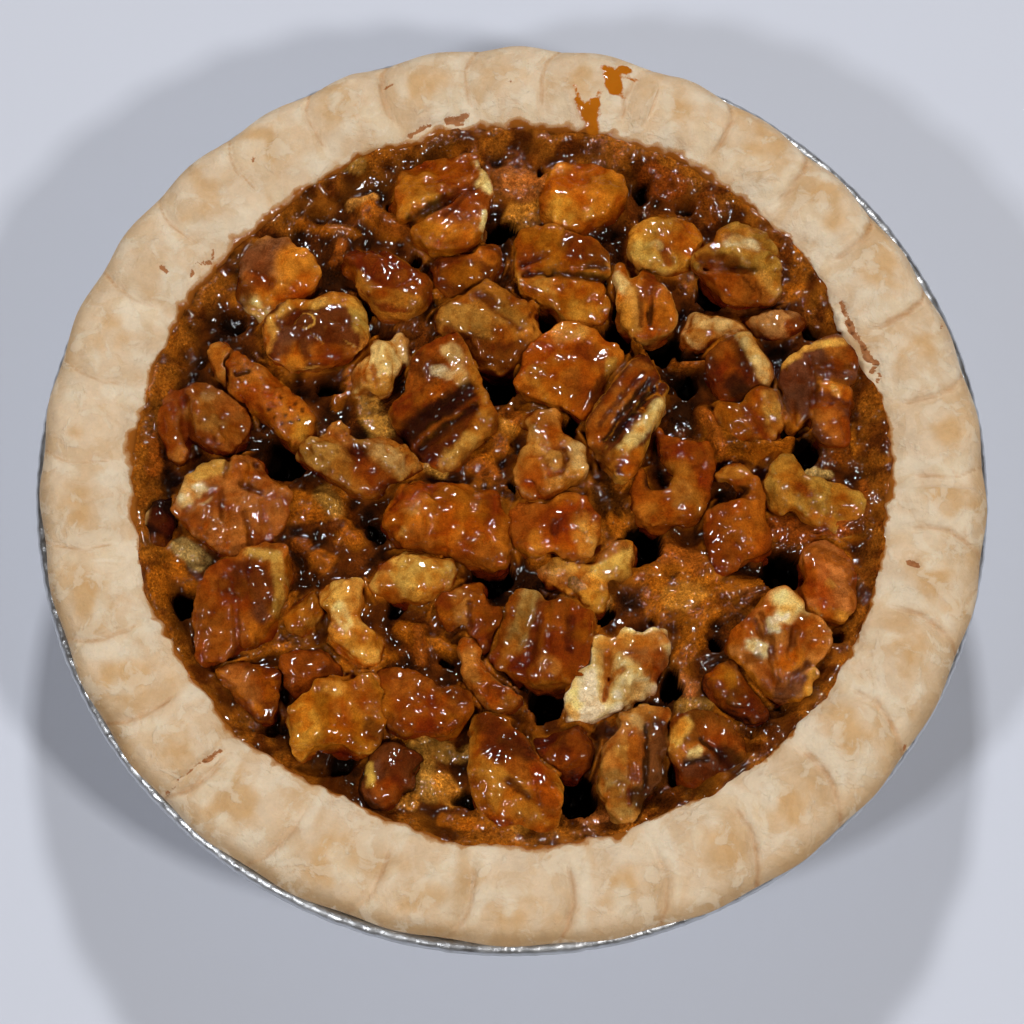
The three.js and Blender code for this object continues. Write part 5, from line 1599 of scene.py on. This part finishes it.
def crust_profile():
    """Radius and height of points from the middle underneath, round the rim, to the middle on top."""
    outside = GAP + FOIL + FLUTE_DEPTH
    floor = FOIL + GAP
    under = [
        (1, floor), (TIN_BASE_RADIUS - outside - 1.2, floor), (wall_inside(3, outside), 3),
        (TIN_WALL_TOP_RADIUS - outside - 0.6, TIN_WALL_TOP - 0.6), (TIN_WALL_TOP_RADIUS - 0.6, CRUST_SEAT),
        (FLANGE_RADIUS - 1.6, CRUST_SEAT),
    ]
    rim = spline(
        [
            (FLANGE_RADIUS - 0.8, CRUST_SEAT), (CRUST_EDGE_RADIUS - 0.5, CRUST_SEAT + 1.2),
            (CRUST_EDGE_RADIUS, CRUST_SEAT + 2.4), (CRUST_EDGE_RADIUS - 1.3, CRUST_CREST - 1.0),
            (CRUST_EDGE_RADIUS - 4.8, CRUST_CREST), (CRUST_INNER_RADIUS + 3.8, CRUST_CREST - 0.3),
            (CRUST_INNER_RADIUS + 0.9, CRUST_INNER_TOP + 0.4), (CRUST_INNER_RADIUS, CRUST_INNER_TOP - 0.6),
            (CRUST_INNER_RADIUS + 0.4, FILLING_LEVEL + 0.4),
        ],
        RIM_STEP,
    )
    over = [
        (wall_inside(20, outside + CRUST_THICKNESS) - 0.4, 20),
        (wall_inside(5, outside + CRUST_THICKNESS), floor + CRUST_THICKNESS),
        (1, floor + CRUST_THICKNESS),
    ]
    return np.concatenate([under, rim, over])


class CrustPoints:
    """Points of the plain crust, and where each one lies on the rim and among its creases."""

    def __init__(self):
        self.radius, self.height, self.angle = revolved(crust_profile(), CRUST_COLUMNS)
        self.x, self.y = self.radius * np.cos(self.angle), self.radius * np.sin(self.angle)
        self.place = np.stack([self.x, self.y, self.height], -1)
        self.on_rim = smoothstep(CRUST_SEAT + 0.5, CRUST_SEAT + 2, self.height)
        self.across = smoothstep(CRUST_INNER_RADIUS + 0.8, CRUST_INNER_RADIUS + 3.5, self.radius)
        self.phase, self.aside, self.strength = crease_phase(self.angle, self.radius)
        self.winding = self.aside + 0.3 * noise(self.place, 1.5, 84)


def crust_moves(at):
    """How far each point of the crust is lifted, and how far it is moved outward."""
    place, on_rim, across = at.place, at.on_rim, at.across
    outer = on_rim * smoothstep(CRUST_EDGE_RADIUS - 3, CRUST_EDGE_RADIUS, at.radius)
    pinch = -np.cos(2 * math.pi * at.phase)
    fold = bump_at(at.winding, 0.6) * at.strength
    step = np.where(at.aside > 0, np.exp(-np.abs(at.aside) / 1.3), 0) * at.strength
    thumb = bump_at(at.phase - PETAL_PHASE, 0.2) * bump_at(at.radius - THUMB_RADIUS, 2.6)
    lift = on_rim * across * (1 - 0.6 * outer) * (
        0.3 * CRIMP_DEPTH * pinch * (0.6 + 0.4 * at.strength) - 0.6 * fold + 0.42 * step - 0.25 * thumb
    )
    rough = layered(place, (0.22, 5, 80), (0.1, 2, 81), (0.05, 0.9, 82))
    lift = lift + on_rim * rough * (0.4 + 0.6 * across)

    bulge = np.interp(np.degrees(at.angle), *zip(*BULGES), period=360)
    wave = EDGE_WAVE * (np.sin(5 * at.angle + 1) + 0.8 * pinch) + 2 * bulge
    shift = (1 - across) * smoothstep(18, 24, at.height) * inner_edge_wave(at.angle) + 0.5 * outer * wave
    ragged_edge = layered(place, (0.3, 2.2, 83), (0.25, 0.9, 87)) - LIP_REACH
    return lift, shift + (1 - across) * on_rim * ragged_edge


def crust_flaws(at, lift, shift):
    """The lift with its cracks and drips, and the distance from each point to a crack and to a drip."""
    x = at.x + shift * np.cos(at.angle) + 0.25 * noise(at.place, 0.8, 85)
    y = at.y + shift * np.sin(at.angle) + 0.25 * noise(at.place, 0.8, 86)
    cracked, dripped = np.full((2, *x.shape), FAR)
    for x1, y1, x2, y2, width, depth in CRACKS:
        away = from_segment(x, y, x1, y1, x2, y2)
        lift = lift - depth * at.on_rim * bump_at(away, max(width, NARROWEST_GROOVE))
        cracked = np.minimum(cracked, away - width)
    for x1, y1, x2, y2, width in DRIPS:
        dripped = smooth_min(dripped, from_segment(x, y, x1, y1, x2, y2) - width, 0.3)
    return lift + 0.14 * at.on_rim * smoothstep(0.3, -0.3, dripped), cracked, dripped


def crust_tints(at):
    """The pastry's colours: toasted petals, flour, browner creases with painted light and shade beside them,
    and a brown outer edge with painted shade on its near side.
    """
    place, strength = at.place, at.strength
    petal = bump_at(at.phase - PETAL_PHASE, 0.27) * bump_at(at.radius - PETAL_RADIUS, 3)
    petal = petal * (1 + 0.7 * noise(place, 2.2, 98))
    toast = smoothstep(0.0, 0.9, 0.65 * fractal(place, 4.5, 4, 90) + 0.8 * petal)
    tint = mix(linear("pastry") + 0 * place, linear("biscuit") * (1.04, 1, 0.92), 0.9 * toast)
    inner = bump_at(at.radius - 52.6, 2.2)
    # Flour on one side of each crease and toast on the other, which also paint the light and the shade of its
    # step.
    flour = noise(place, 2.4, 91) + 0.9 * bump_at(at.aside - 1.4, 1.1) * strength + 0.35 * inner
    tint = mix(tint, linear("flour"), 0.6 * smoothstep(0.15, 0.9, flour))
    toasted = bump_at(at.winding + 1.3, 1.5) * strength * (0.6 + 0.6 * noise(place, 3, 97))
    tint = mix(tint, linear("biscuit") * 0.95, np.clip(0.75 * toasted, 0, 1))
    brown_edge_and_shade = smoothstep(CRUST_EDGE_RADIUS - 2.6, CRUST_EDGE_RADIUS - 0.2, at.radius)
    # Painted shade: the brown outer edge is darker still on the near side.
    near_side_shade = 0.5 - 0.5 * np.sin(at.angle + 0.25)
    brown_edge_and_shade = brown_edge_and_shade * (0.2 + 0.75 * near_side_shade + 0.4 * noise(place, 7, 92))
    tint = mix(tint, linear("biscuit") * 0.8, np.clip(brown_edge_and_shade, 0, 1))
    return tint * layered(place, (0.05, 0.9, 95), (0.05, 3, 96), start=1)[..., None]


def crust_soak(at):
    """How much of the crust along its inner edge syrup has crept into, from 0 to 1."""
    creep = PLAIN_CREEP + 0 * at.angle
    for heading, spread, width in CREEP:
        creep = creep + width * bump_at(degrees_from(heading, at.angle), spread)
    ragged = layered(at.place, (0.5, 1.7, 93), (0.3, 0.7, 94))
    return 1 - smoothstep(0, 1, (at.radius - CRUST_INNER_RADIUS + ragged) / creep)


def build_crust(material):
    """The pastry: a broad crimped rim on a plain wall and floor that the tin and the syrup hide."""
    at = CrustPoints()
    lift, shift = crust_moves(at)
    lift, cracked, dripped = crust_flaws(at, lift, shift)
    points, faces = closed_turning(at.radius + shift, at.angle, at.height + lift)
    tints = np.concatenate([crust_tints(at).reshape(-1, 3), np.tile(linear("pastry"), (2, 1))])

    # Distances are kept up to 2, which is far enough from anything.
    values = {
        "soak": crust_soak(at) * at.on_rim,
        "crack": np.where(at.on_rim > 0.5, np.minimum(cracked, 2), 2),
        "drip": np.where(at.on_rim > 0.5, np.minimum(dripped, 2), 2),
        "crease": np.minimum(np.abs(at.winding) / at.strength + 2 * (1 - at.on_rim * at.across), 2),
    }
    values = {key: np.concatenate([value.ravel(), [0, 0]]) for key, value in values.items()}
    piece = make_mesh("crust_look", points, faces, np.clip(tints, 0.001, 0.95), **values)
    piece.data.materials.append(material)
    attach(piece, "root")
    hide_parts("crust")
    return piece


# ---------------------------------------------------------------- foil tin

TIN_COLUMNS = 960
PLEATS = 165  # fine pleats round the flange
CRINKLE = 0.16
BEAD_TURN = 130  # degrees to each side that the foil is rolled round its bead
BEAD_STEP = 20
WALL_MARGIN = 1.2  # height at which the straight wall begins
WALL_ROWS = 16
INNER_WALL_ROWS = 8


def tin_profile():
    """Radius and height of points from the middle underneath, round the bead, to the middle on top."""
    flange_top = TIN_WALL_TOP + FOIL
    bead_middle, bead_height = TIN_RADIUS - BEAD_RADIUS, TIN_WALL_TOP + FOIL / 2
    turns = [math.radians(a) for a in range(-BEAD_TURN, BEAD_TURN + 1, BEAD_STEP)]
    bead = [
        (bead_middle + BEAD_RADIUS * math.cos(turn), bead_height + BEAD_RADIUS * math.sin(turn))
        for turn in turns
    ]
    wall_end = TIN_WALL_TOP - 0.8
    wall = [(wall_inside(h, 0), h) for h in np.linspace(WALL_MARGIN, wall_end, WALL_ROWS)]
    inner_wall = [
        (wall_inside(h, FOIL), h + FOIL / 2) for h in np.linspace(wall_end, WALL_MARGIN, INNER_WALL_ROWS)
    ]
    under = [(1, 0), (30, 0), (TIN_BASE_RADIUS - 1, 0), *wall, (TIN_WALL_TOP_RADIUS, TIN_WALL_TOP)]
    flange = [(FLANGE_RADIUS - 1, TIN_WALL_TOP), (FLANGE_RADIUS, TIN_WALL_TOP)]
    over = [(FLANGE_RADIUS, flange_top), (FLANGE_RADIUS - 1, flange_top)]
    inside = [(TIN_WALL_TOP_RADIUS - FOIL, flange_top), *inner_wall, (TIN_BASE_RADIUS - 1.6, FOIL), (1, FOIL)]
    return np.array(under + flange + bead + over + inside)


def build_tin(material):
    """The foil tin: a fluted wall, crinkled by hand, and a pleated flange with a rolled bead."""
    radius, height, angle = revolved(tin_profile(), TIN_COLUMNS)
    place = np.stack([radius * np.cos(angle), radius * np.sin(angle), height], -1)
    on_wall = smoothstep(0.8, 4, height) * (1 - smoothstep(TIN_WALL_TOP - 3, TIN_WALL_TOP, height))
    flute = np.cos(FLUTES * angle)
    sharp = flute * (1.25 - 0.25 * flute**2)
    shift = 0.5 * FLUTE_DEPTH * on_wall * sharp
    shift = shift + CRINKLE * on_wall * noise(place, (3, 3, 6), 101)
    on_flange = smoothstep(TIN_WALL_TOP_RADIUS - 1, TIN_WALL_TOP_RADIUS + 1, radius)
    pleat = np.sin(PLEATS * angle + 2.5 * noise(place, 9, 102)) * (0.6 + 0.4 * noise(place, 5, 103))
    on_bead = smoothstep(FLANGE_RADIUS - 0.5, FLANGE_RADIUS + 0.5, radius)
    lift = on_flange * (0.07 * pleat + 0.08 * noise(place, 4, 104))
    shift = shift + on_bead * (0.05 * pleat + 0.06 * noise(place, 2.2, 105) - 0.06)
    points, faces = closed_turning(radius + shift, angle, height + lift)
    worn = np.concatenate([(0.5 + 0.5 * noise(place, 2.5, 106)).ravel(), [0, 0]])
    tints = np.tile(linear("foil"), (len(points), 1)) * (0.92 + 0.08 * worn)[:, None]
    piece = make_mesh("foil_tin_look", points, faces, tints)
    piece.data.materials.append(material)
    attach(piece, "root")
    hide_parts("foil_tin")
    return piece


# ---------------------------------------------------------------- materials

MIX_COLOURS = (6, 7)  # where a Mix node has its two colours going in
MIX_RESULT = 2  # and where the mixed colour comes out

# What patches of a material multiply its colour by: dark pools, painted glints, a frosted bloom, lace, and
# the painted shade in creases.
POOLED = (0.64, 0.47, 0.3)
GLINTED = (2.2, 2.5, 3.0)
FROSTED = (1.35, 1.4, 1.5)
LACED = (0.9, 0.81, 0.67)
CREASE_SHADE = (0.7, 0.5, 0.33)


class Nodes:
    """A material's node tree, with one short call for each kind of node that is used here."""

    def __init__(self, name, **finish):
        self.material = bpy.data.materials.new(name)
        self.material.use_nodes = True
        self.tree = self.material.node_tree
        self.shader = self.tree.nodes["Principled BSDF"]
        for socket, value in finish.items():
            self.shader.inputs[socket.replace("_", " ")].default_value = value
        self.place = self.new("TexCoord").outputs["Object"]

    def new(self, kind, **inputs):
        """A node with its inputs set, each by name to a number, a colour or another node's output."""
        node = self.tree.nodes.new(f"ShaderNode{kind}")
        for name, value in inputs.items():
            self.feed(node.inputs[name.replace("_", " ")], value)
        return node

    def feed(self, socket, value):
        """Sets a socket to a number or a colour, or links another node's output to it."""
        if isinstance(value, (int, float)):
            socket.default_value = value
        elif isinstance(value, tuple):
            socket.default_value = (*value, 1) if len(socket.default_value) > len(value) else value
        else:
            self.tree.links.new(value, socket)

    def to_shader(self, output, socket):
        """Gives a value or a colour to one of the shader's inputs."""
        self.feed(self.shader.inputs[socket], output)

    def attribute(self, name, output="Fac"):
        """A value that the mesh carries at its points."""
        node = self.new("Attribute")
        node.attribute_name = name
        return node.outputs[output]

    def noise(self, size_mm, detail=3.0, roughness=0.55, distortion=0.0):
        """Noise round 0.5 with blobs of a size."""
        scale = 1 / (size_mm * MM)
        node = self.new(
            "TexNoise", Scale=scale, Detail=detail, Roughness=roughness, Distortion=distortion,
            Vector=self.place,
        )
        return node.outputs["Fac"]

    def cells(self, size_mm):
        """Distance from the middle of the nearest of many cells of a size."""
        return self.new("TexVoronoi", Scale=1 / (size_mm * MM), Vector=self.place).outputs["Distance"]

    def ranged(self, value, low, high, to_low, to_high):
        """A value taken from one range to another, and held at its ends."""
        ends = {"From_Min": low, "From_Max": high, "To_Min": to_low, "To_Max": to_high}
        return self.new("MapRange", Value=value, **ends).outputs["Result"]

    def math(self, operation, a, b):
        """One step of arithmetic on two values."""
        node = self.new("Math")
        node.operation = operation
        for socket, value in zip(node.inputs, (a, b)):
            self.feed(socket, value)
        return node.outputs["Value"]

    def product(self, *values):
        """All of the values multiplied."""
        total, *others = values
        for value in others:
            total = self.math("MULTIPLY", total, value)
        return total

    def blended(self, blend, share, a, b):
        """Colour b laid on a share of colour a, in one of the ways that a Mix node blends."""
        node = self.new("Mix")
        node.data_type = "RGBA"
        node.blend_type = blend
        self.feed(node.inputs["Factor"], share)
        for index, value in zip(MIX_COLOURS, (a, b)):
            self.feed(node.inputs[index], value)
        return node.outputs[MIX_RESULT]

    def painted(self, colour, share, over):
        """A colour with one of the palette's over a share of it."""
        return self.blended("MIX", share, colour, tuple(linear(over)))

    def stained(self, colour, share, by):
        """A colour with a share of it multiplied by another."""
        return self.blended("MULTIPLY", share, colour, by)

    def scaled(self, colour, by):
        """A colour made lighter or darker by a value."""
        node = self.new("VectorMath")
        node.operation = "SCALE"
        self.feed(node.inputs[0], colour)
        self.feed(node.inputs["Scale"], by)
        return node.outputs["Vector"]

    def shaded(self, colour, value, low, high):
        """A colour made darker and lighter by a value round 0.5."""
        return self.scaled(colour, self.ranged(value, 0.25, 0.75, low, high))

    def bump(self, height, depth_mm, strength=1.0, under=None):
        """Normals of a surface with relief, over those of another relief where one is given."""
        node = self.new("Bump", Strength=strength, Distance=depth_mm * MM, Height=height)
        if under is not None:
            self.feed(node.inputs["Normal"], under)
        return node.outputs["Normal"]


def glazed_material(name, foaming):
    """Nut or syrup under a sticky glaze; foaming is how much its small bubbles show."""
    nodes = Nodes(name, Coat_Weight=0.6, Coat_Roughness=0.035, Coat_IOR=1.45, Specular_IOR_Level=0.0)
    froth = nodes.attribute("beads")

    # The colour: grain, pools of dark syrup, froth with painted shade and light on its bubbles and painted
    # glints, and a frosted bloom.
    grain = nodes.ranged(nodes.noise(0.4, 3, 0.7), 0.25, 0.75, -0.4, 0.4)
    grain = nodes.product(grain, nodes.ranged(froth, 0, 1, 0.4, 1.1))
    fine = nodes.ranged(nodes.noise(0.2, 1, 0.5), 0.3, 0.7, 0.88, 1.12)
    tint = nodes.scaled(nodes.attribute("tint", "Color"), nodes.math("ADD", grain, fine))
    pooled = nodes.ranged(nodes.noise(1.4, 6, 0.62, 0.4), 0.5, 0.6, 0, 0.5)
    tint = nodes.stained(tint, pooled, POOLED)
    frothy = nodes.product(froth, nodes.ranged(nodes.noise(1.6, 3), 0.4, 0.6, 0.2, 1))
    # Painted shade in the middle of each bubble and painted light round its rim.
    ring = nodes.ranged(nodes.cells(0.42), 0.2, 0.65, -0.28 * foaming, 0.42 * foaming)
    tint = nodes.scaled(tint, nodes.math("ADD", nodes.product(ring, frothy), 1.0))
    # Painted glints: small pale specks on the froth.
    painted_glint = nodes.ranged(nodes.noise(0.28, 1, 0.5), 0.64, 0.72, 0, 0.8)
    tint = nodes.stained(tint, nodes.product(painted_glint, frothy, foaming), GLINTED)
    frosted = nodes.ranged(nodes.noise(0.9, 5, 0.65, 0.4), 0.55, 0.63, 0, 0.5)
    tint = nodes.stained(tint, frosted, FROSTED)
    nodes.to_shader(tint, "Base Color")
    nodes.to_shader(nodes.ranged(nodes.noise(1.1, 3), 0.3, 0.7, 0.4, 0.7), "Roughness")
    nodes.to_shader(nodes.bump(nodes.noise(0.6, 3, 0.65), 0.2), "Normal")

    # The glaze: swells with small domes and grit on them, in patches.
    patchy = nodes.ranged(nodes.noise(3, 2), 0.42, 0.6, 0.25, 1.1)
    swell = nodes.product(nodes.noise(1.0, 1, 0.4), 0.11)
    cell = nodes.cells(0.5)
    dome = nodes.product(cell, cell, nodes.ranged(froth, 0, 1, -0.01, -0.07))
    grit = nodes.product(nodes.noise(0.36, 1, 0.5), nodes.ranged(froth, 0, 1, 0.01, 0.03))
    height = nodes.product(nodes.math("ADD", nodes.math("ADD", swell, dome), grit), patchy)
    nodes.to_shader(nodes.bump(height, 1.0), "Coat Normal")
    return nodes.material


def pastry_material():
    """Pale shortcrust: crisp-edged tan and floury patches, brown cracks, and syrup that ran onto it."""
    nodes = Nodes(
        "pastry", Subsurface_Weight=0.12, Subsurface_Scale=0.0015, Subsurface_Radius=(1.0, 0.6, 0.35),
        Specular_IOR_Level=0.35,
    )
    ragged = nodes.ranged(nodes.noise(0.5, 4, 0.7), 0.2, 0.8, -0.3, 0.3)

    def frayed(name, by):
        """A value that the mesh carries, with its edges made ragged."""
        return nodes.math("ADD", nodes.attribute(name), nodes.product(ragged, by))

    broken = nodes.ranged(nodes.noise(4, 3), 0.36, 0.6, 0.35, 1)
    lace = nodes.ranged(nodes.noise(5, 7, 0.6, 0.8), 0.5, 0.56, 0, 1)
    chalk = nodes.ranged(nodes.noise(3.4, 6, 0.58, 0.5), 0.54, 0.6, 0, 1)
    tint = nodes.shaded(nodes.attribute("tint", "Color"), nodes.noise(0.45, 4, 0.7), 0.94, 1.06)
    tint = nodes.stained(tint, nodes.product(lace, 0.45), LACED)
    tint = nodes.painted(tint, nodes.product(chalk, 0.4), "flour")
    # Painted shade: a darker line along each crease.
    crease = nodes.product(nodes.ranged(frayed("crease", 0.35), 0.05, 0.6, 0.75, 0), broken)
    tint = nodes.stained(tint, crease, CREASE_SHADE)
    soak = frayed("soak", 0.5)
    soaked = nodes.ranged(soak, 0.48, 0.8, 0, 0.95)
    syrup = nodes.ranged(frayed("drip", 0.8), 0.12, -0.12, 0, 1)
    tint = nodes.painted(tint, nodes.ranged(soak, 0.18, 0.4, 0, 0.8), "stain")
    tint = nodes.painted(tint, soaked, "rim")
    tint = nodes.painted(tint, nodes.ranged(frayed("crack", 0.7), 0.06, -0.02, 0, 0.95), "baked")
    tint = nodes.painted(tint, syrup, "drip")
    nodes.to_shader(tint, "Base Color")

    # Smooth where it is wet, and crumbly and flaked where it is dry.
    dry = nodes.math("SUBTRACT", 1.0, nodes.product(nodes.math("MAXIMUM", soaked, syrup), 0.85))
    rough = nodes.ranged(nodes.noise(1.5, 3), 0.3, 0.7, 0.5, 0.72)
    nodes.to_shader(nodes.product(rough, dry), "Roughness")
    flakes = nodes.math("SUBTRACT", chalk, nodes.product(lace, 0.5))
    grain = nodes.bump(nodes.noise(0.3, 4, 0.7), 0.05, dry)
    crumb = nodes.bump(nodes.noise(1.3, 4, 0.6, 0.6), 0.2, dry, grain)
    flaked = nodes.bump(flakes, 0.05, dry, crumb)
    nodes.to_shader(nodes.bump(nodes.noise(4.5, 2), 0.5, 1, flaked), "Normal")
    return nodes.material


def foil_material():
    """Thin bright foil, crinkled and a little worn."""
    nodes = Nodes("foil", Metallic=1.0)
    tint = nodes.shaded(nodes.attribute("tint", "Color"), nodes.noise(3, 3), 0.9, 1.08)
    nodes.to_shader(tint, "Base Color")
    nodes.to_shader(nodes.ranged(nodes.noise(2, 3), 0.3, 0.7, 0.3, 0.5), "Roughness")
    fine = nodes.bump(nodes.noise(0.8, 3, 0.6, 1.5), 0.06)
    nodes.to_shader(nodes.bump(nodes.noise(3.5, 2, 0.5, 1.0), 0.25, 1, fine), "Normal")
    return nodes.material


# ---------------------------------------------------------------- stage, light and camera

# The camera, as fitted to the outlines of the crust and the tin on the photo.
LOOKED_AT = Vector((0, -4.51, 26.0)) * MM
CAMERA_ELEVATION = 72.31
CAMERA_DISTANCE = 400 * MM
SENSOR = 36.0
IMAGE_SIDE = 1024  # of the photo, in pixels
FOCAL_PIXELS = 3019.4

FLOOR_SIDE = 12.0  # in metres, to lie under all that the camera sees

FLOOR_COLOUR = (216, 221, 234)
WORLD_COLOUR = (1.0, 0.78, 0.58)
WORLD_STRENGTH = 0.05
LIT_POINT = (0, 0, 0.02)

# Place in metres, side of the square, watts and colour of each light.
LIGHTS = {
    "key": ((0.42, -0.34, 0.66), 0.08, 2.55, (1.0, 0.98, 0.95)),
    "fill": ((-0.42, -0.36, 0.64), 0.08, 2.15, (0.97, 0.98, 1.0)),
    "back": ((0.02, 0.64, 0.66), 0.08, 3.7, (1.0, 1.0, 1.0)),
}


def add_stage():
    """The plain pale floor under the pie."""
    reach = FLOOR_SIDE / 2
    corners = [(-reach, -reach, 0), (reach, -reach, 0), (reach, reach, 0), (-reach, reach, 0)]
    mesh = bpy.data.meshes.new("floor")
    mesh.from_pydata(corners, [], [(0, 1, 2, 3)])
    floor = bpy.data.objects.new("floor", mesh)
    bpy.context.scene.collection.objects.link(floor)
    nodes = Nodes("floor", Roughness=0.8)
    nodes.to_shader(tuple(linear(FLOOR_COLOUR)), "Base Color")
    mesh.materials.append(nodes.material)
    floor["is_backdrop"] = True


def look_from(thing, place, target):
    """Puts a camera or a light at a place and turns it to a target."""
    thing.location = place
    thing.rotation_mode = "QUATERNION"
    thing.rotation_quaternion = (Vector(target) - Vector(place)).to_track_quat("-Z", "Y")


def add_lights():
    """Three square lamps and a faint warm surrounding light."""
    world = bpy.data.worlds.new("studio")
    world.use_nodes = True
    background = world.node_tree.nodes["Background"]
    background.inputs["Color"].default_value = (*WORLD_COLOUR, 1)
    background.inputs["Strength"].default_value = WORLD_STRENGTH
    bpy.context.scene.world = world
    for name, (place, side, power, colour) in LIGHTS.items():
        data = bpy.data.lights.new(name, "AREA")
        data.shape, data.size, data.energy, data.color = "SQUARE", side, power, colour
        light = bpy.data.objects.new(name, data)
        bpy.context.scene.collection.objects.link(light)
        look_from(light, place, LIT_POINT)


def add_camera():
    """The photo's camera."""
    data = bpy.data.cameras.new("camera")
    data.sensor_fit, data.sensor_width = "HORIZONTAL", SENSOR
    data.lens = FOCAL_PIXELS / IMAGE_SIDE * SENSOR
    camera = bpy.data.objects.new("camera", data)
    bpy.context.scene.collection.objects.link(camera)
    tilt = math.radians(CAMERA_ELEVATION)
    away = Vector((0, -math.cos(tilt), math.sin(tilt))) * CAMERA_DISTANCE
    look_from(camera, LOOKED_AT + away, LOOKED_AT)
    bpy.context.scene.camera = camera


# ---------------------------------------------------------------- the whole pie

add_camera()
add_lights()
add_stage()
bpy.context.scene.view_settings.view_transform = "Standard"

nut_material = glazed_material("glazed_nut", 0.35)
build_tin(foil_material())
build_crust(pastry_material())
build_filling(glazed_material("syrup", 1.0))
for nut_name in NUTS:
    build_nut(nut_name, nut_material)

[[list(corner) for corner in box] for box in (CAD_BOX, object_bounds())]
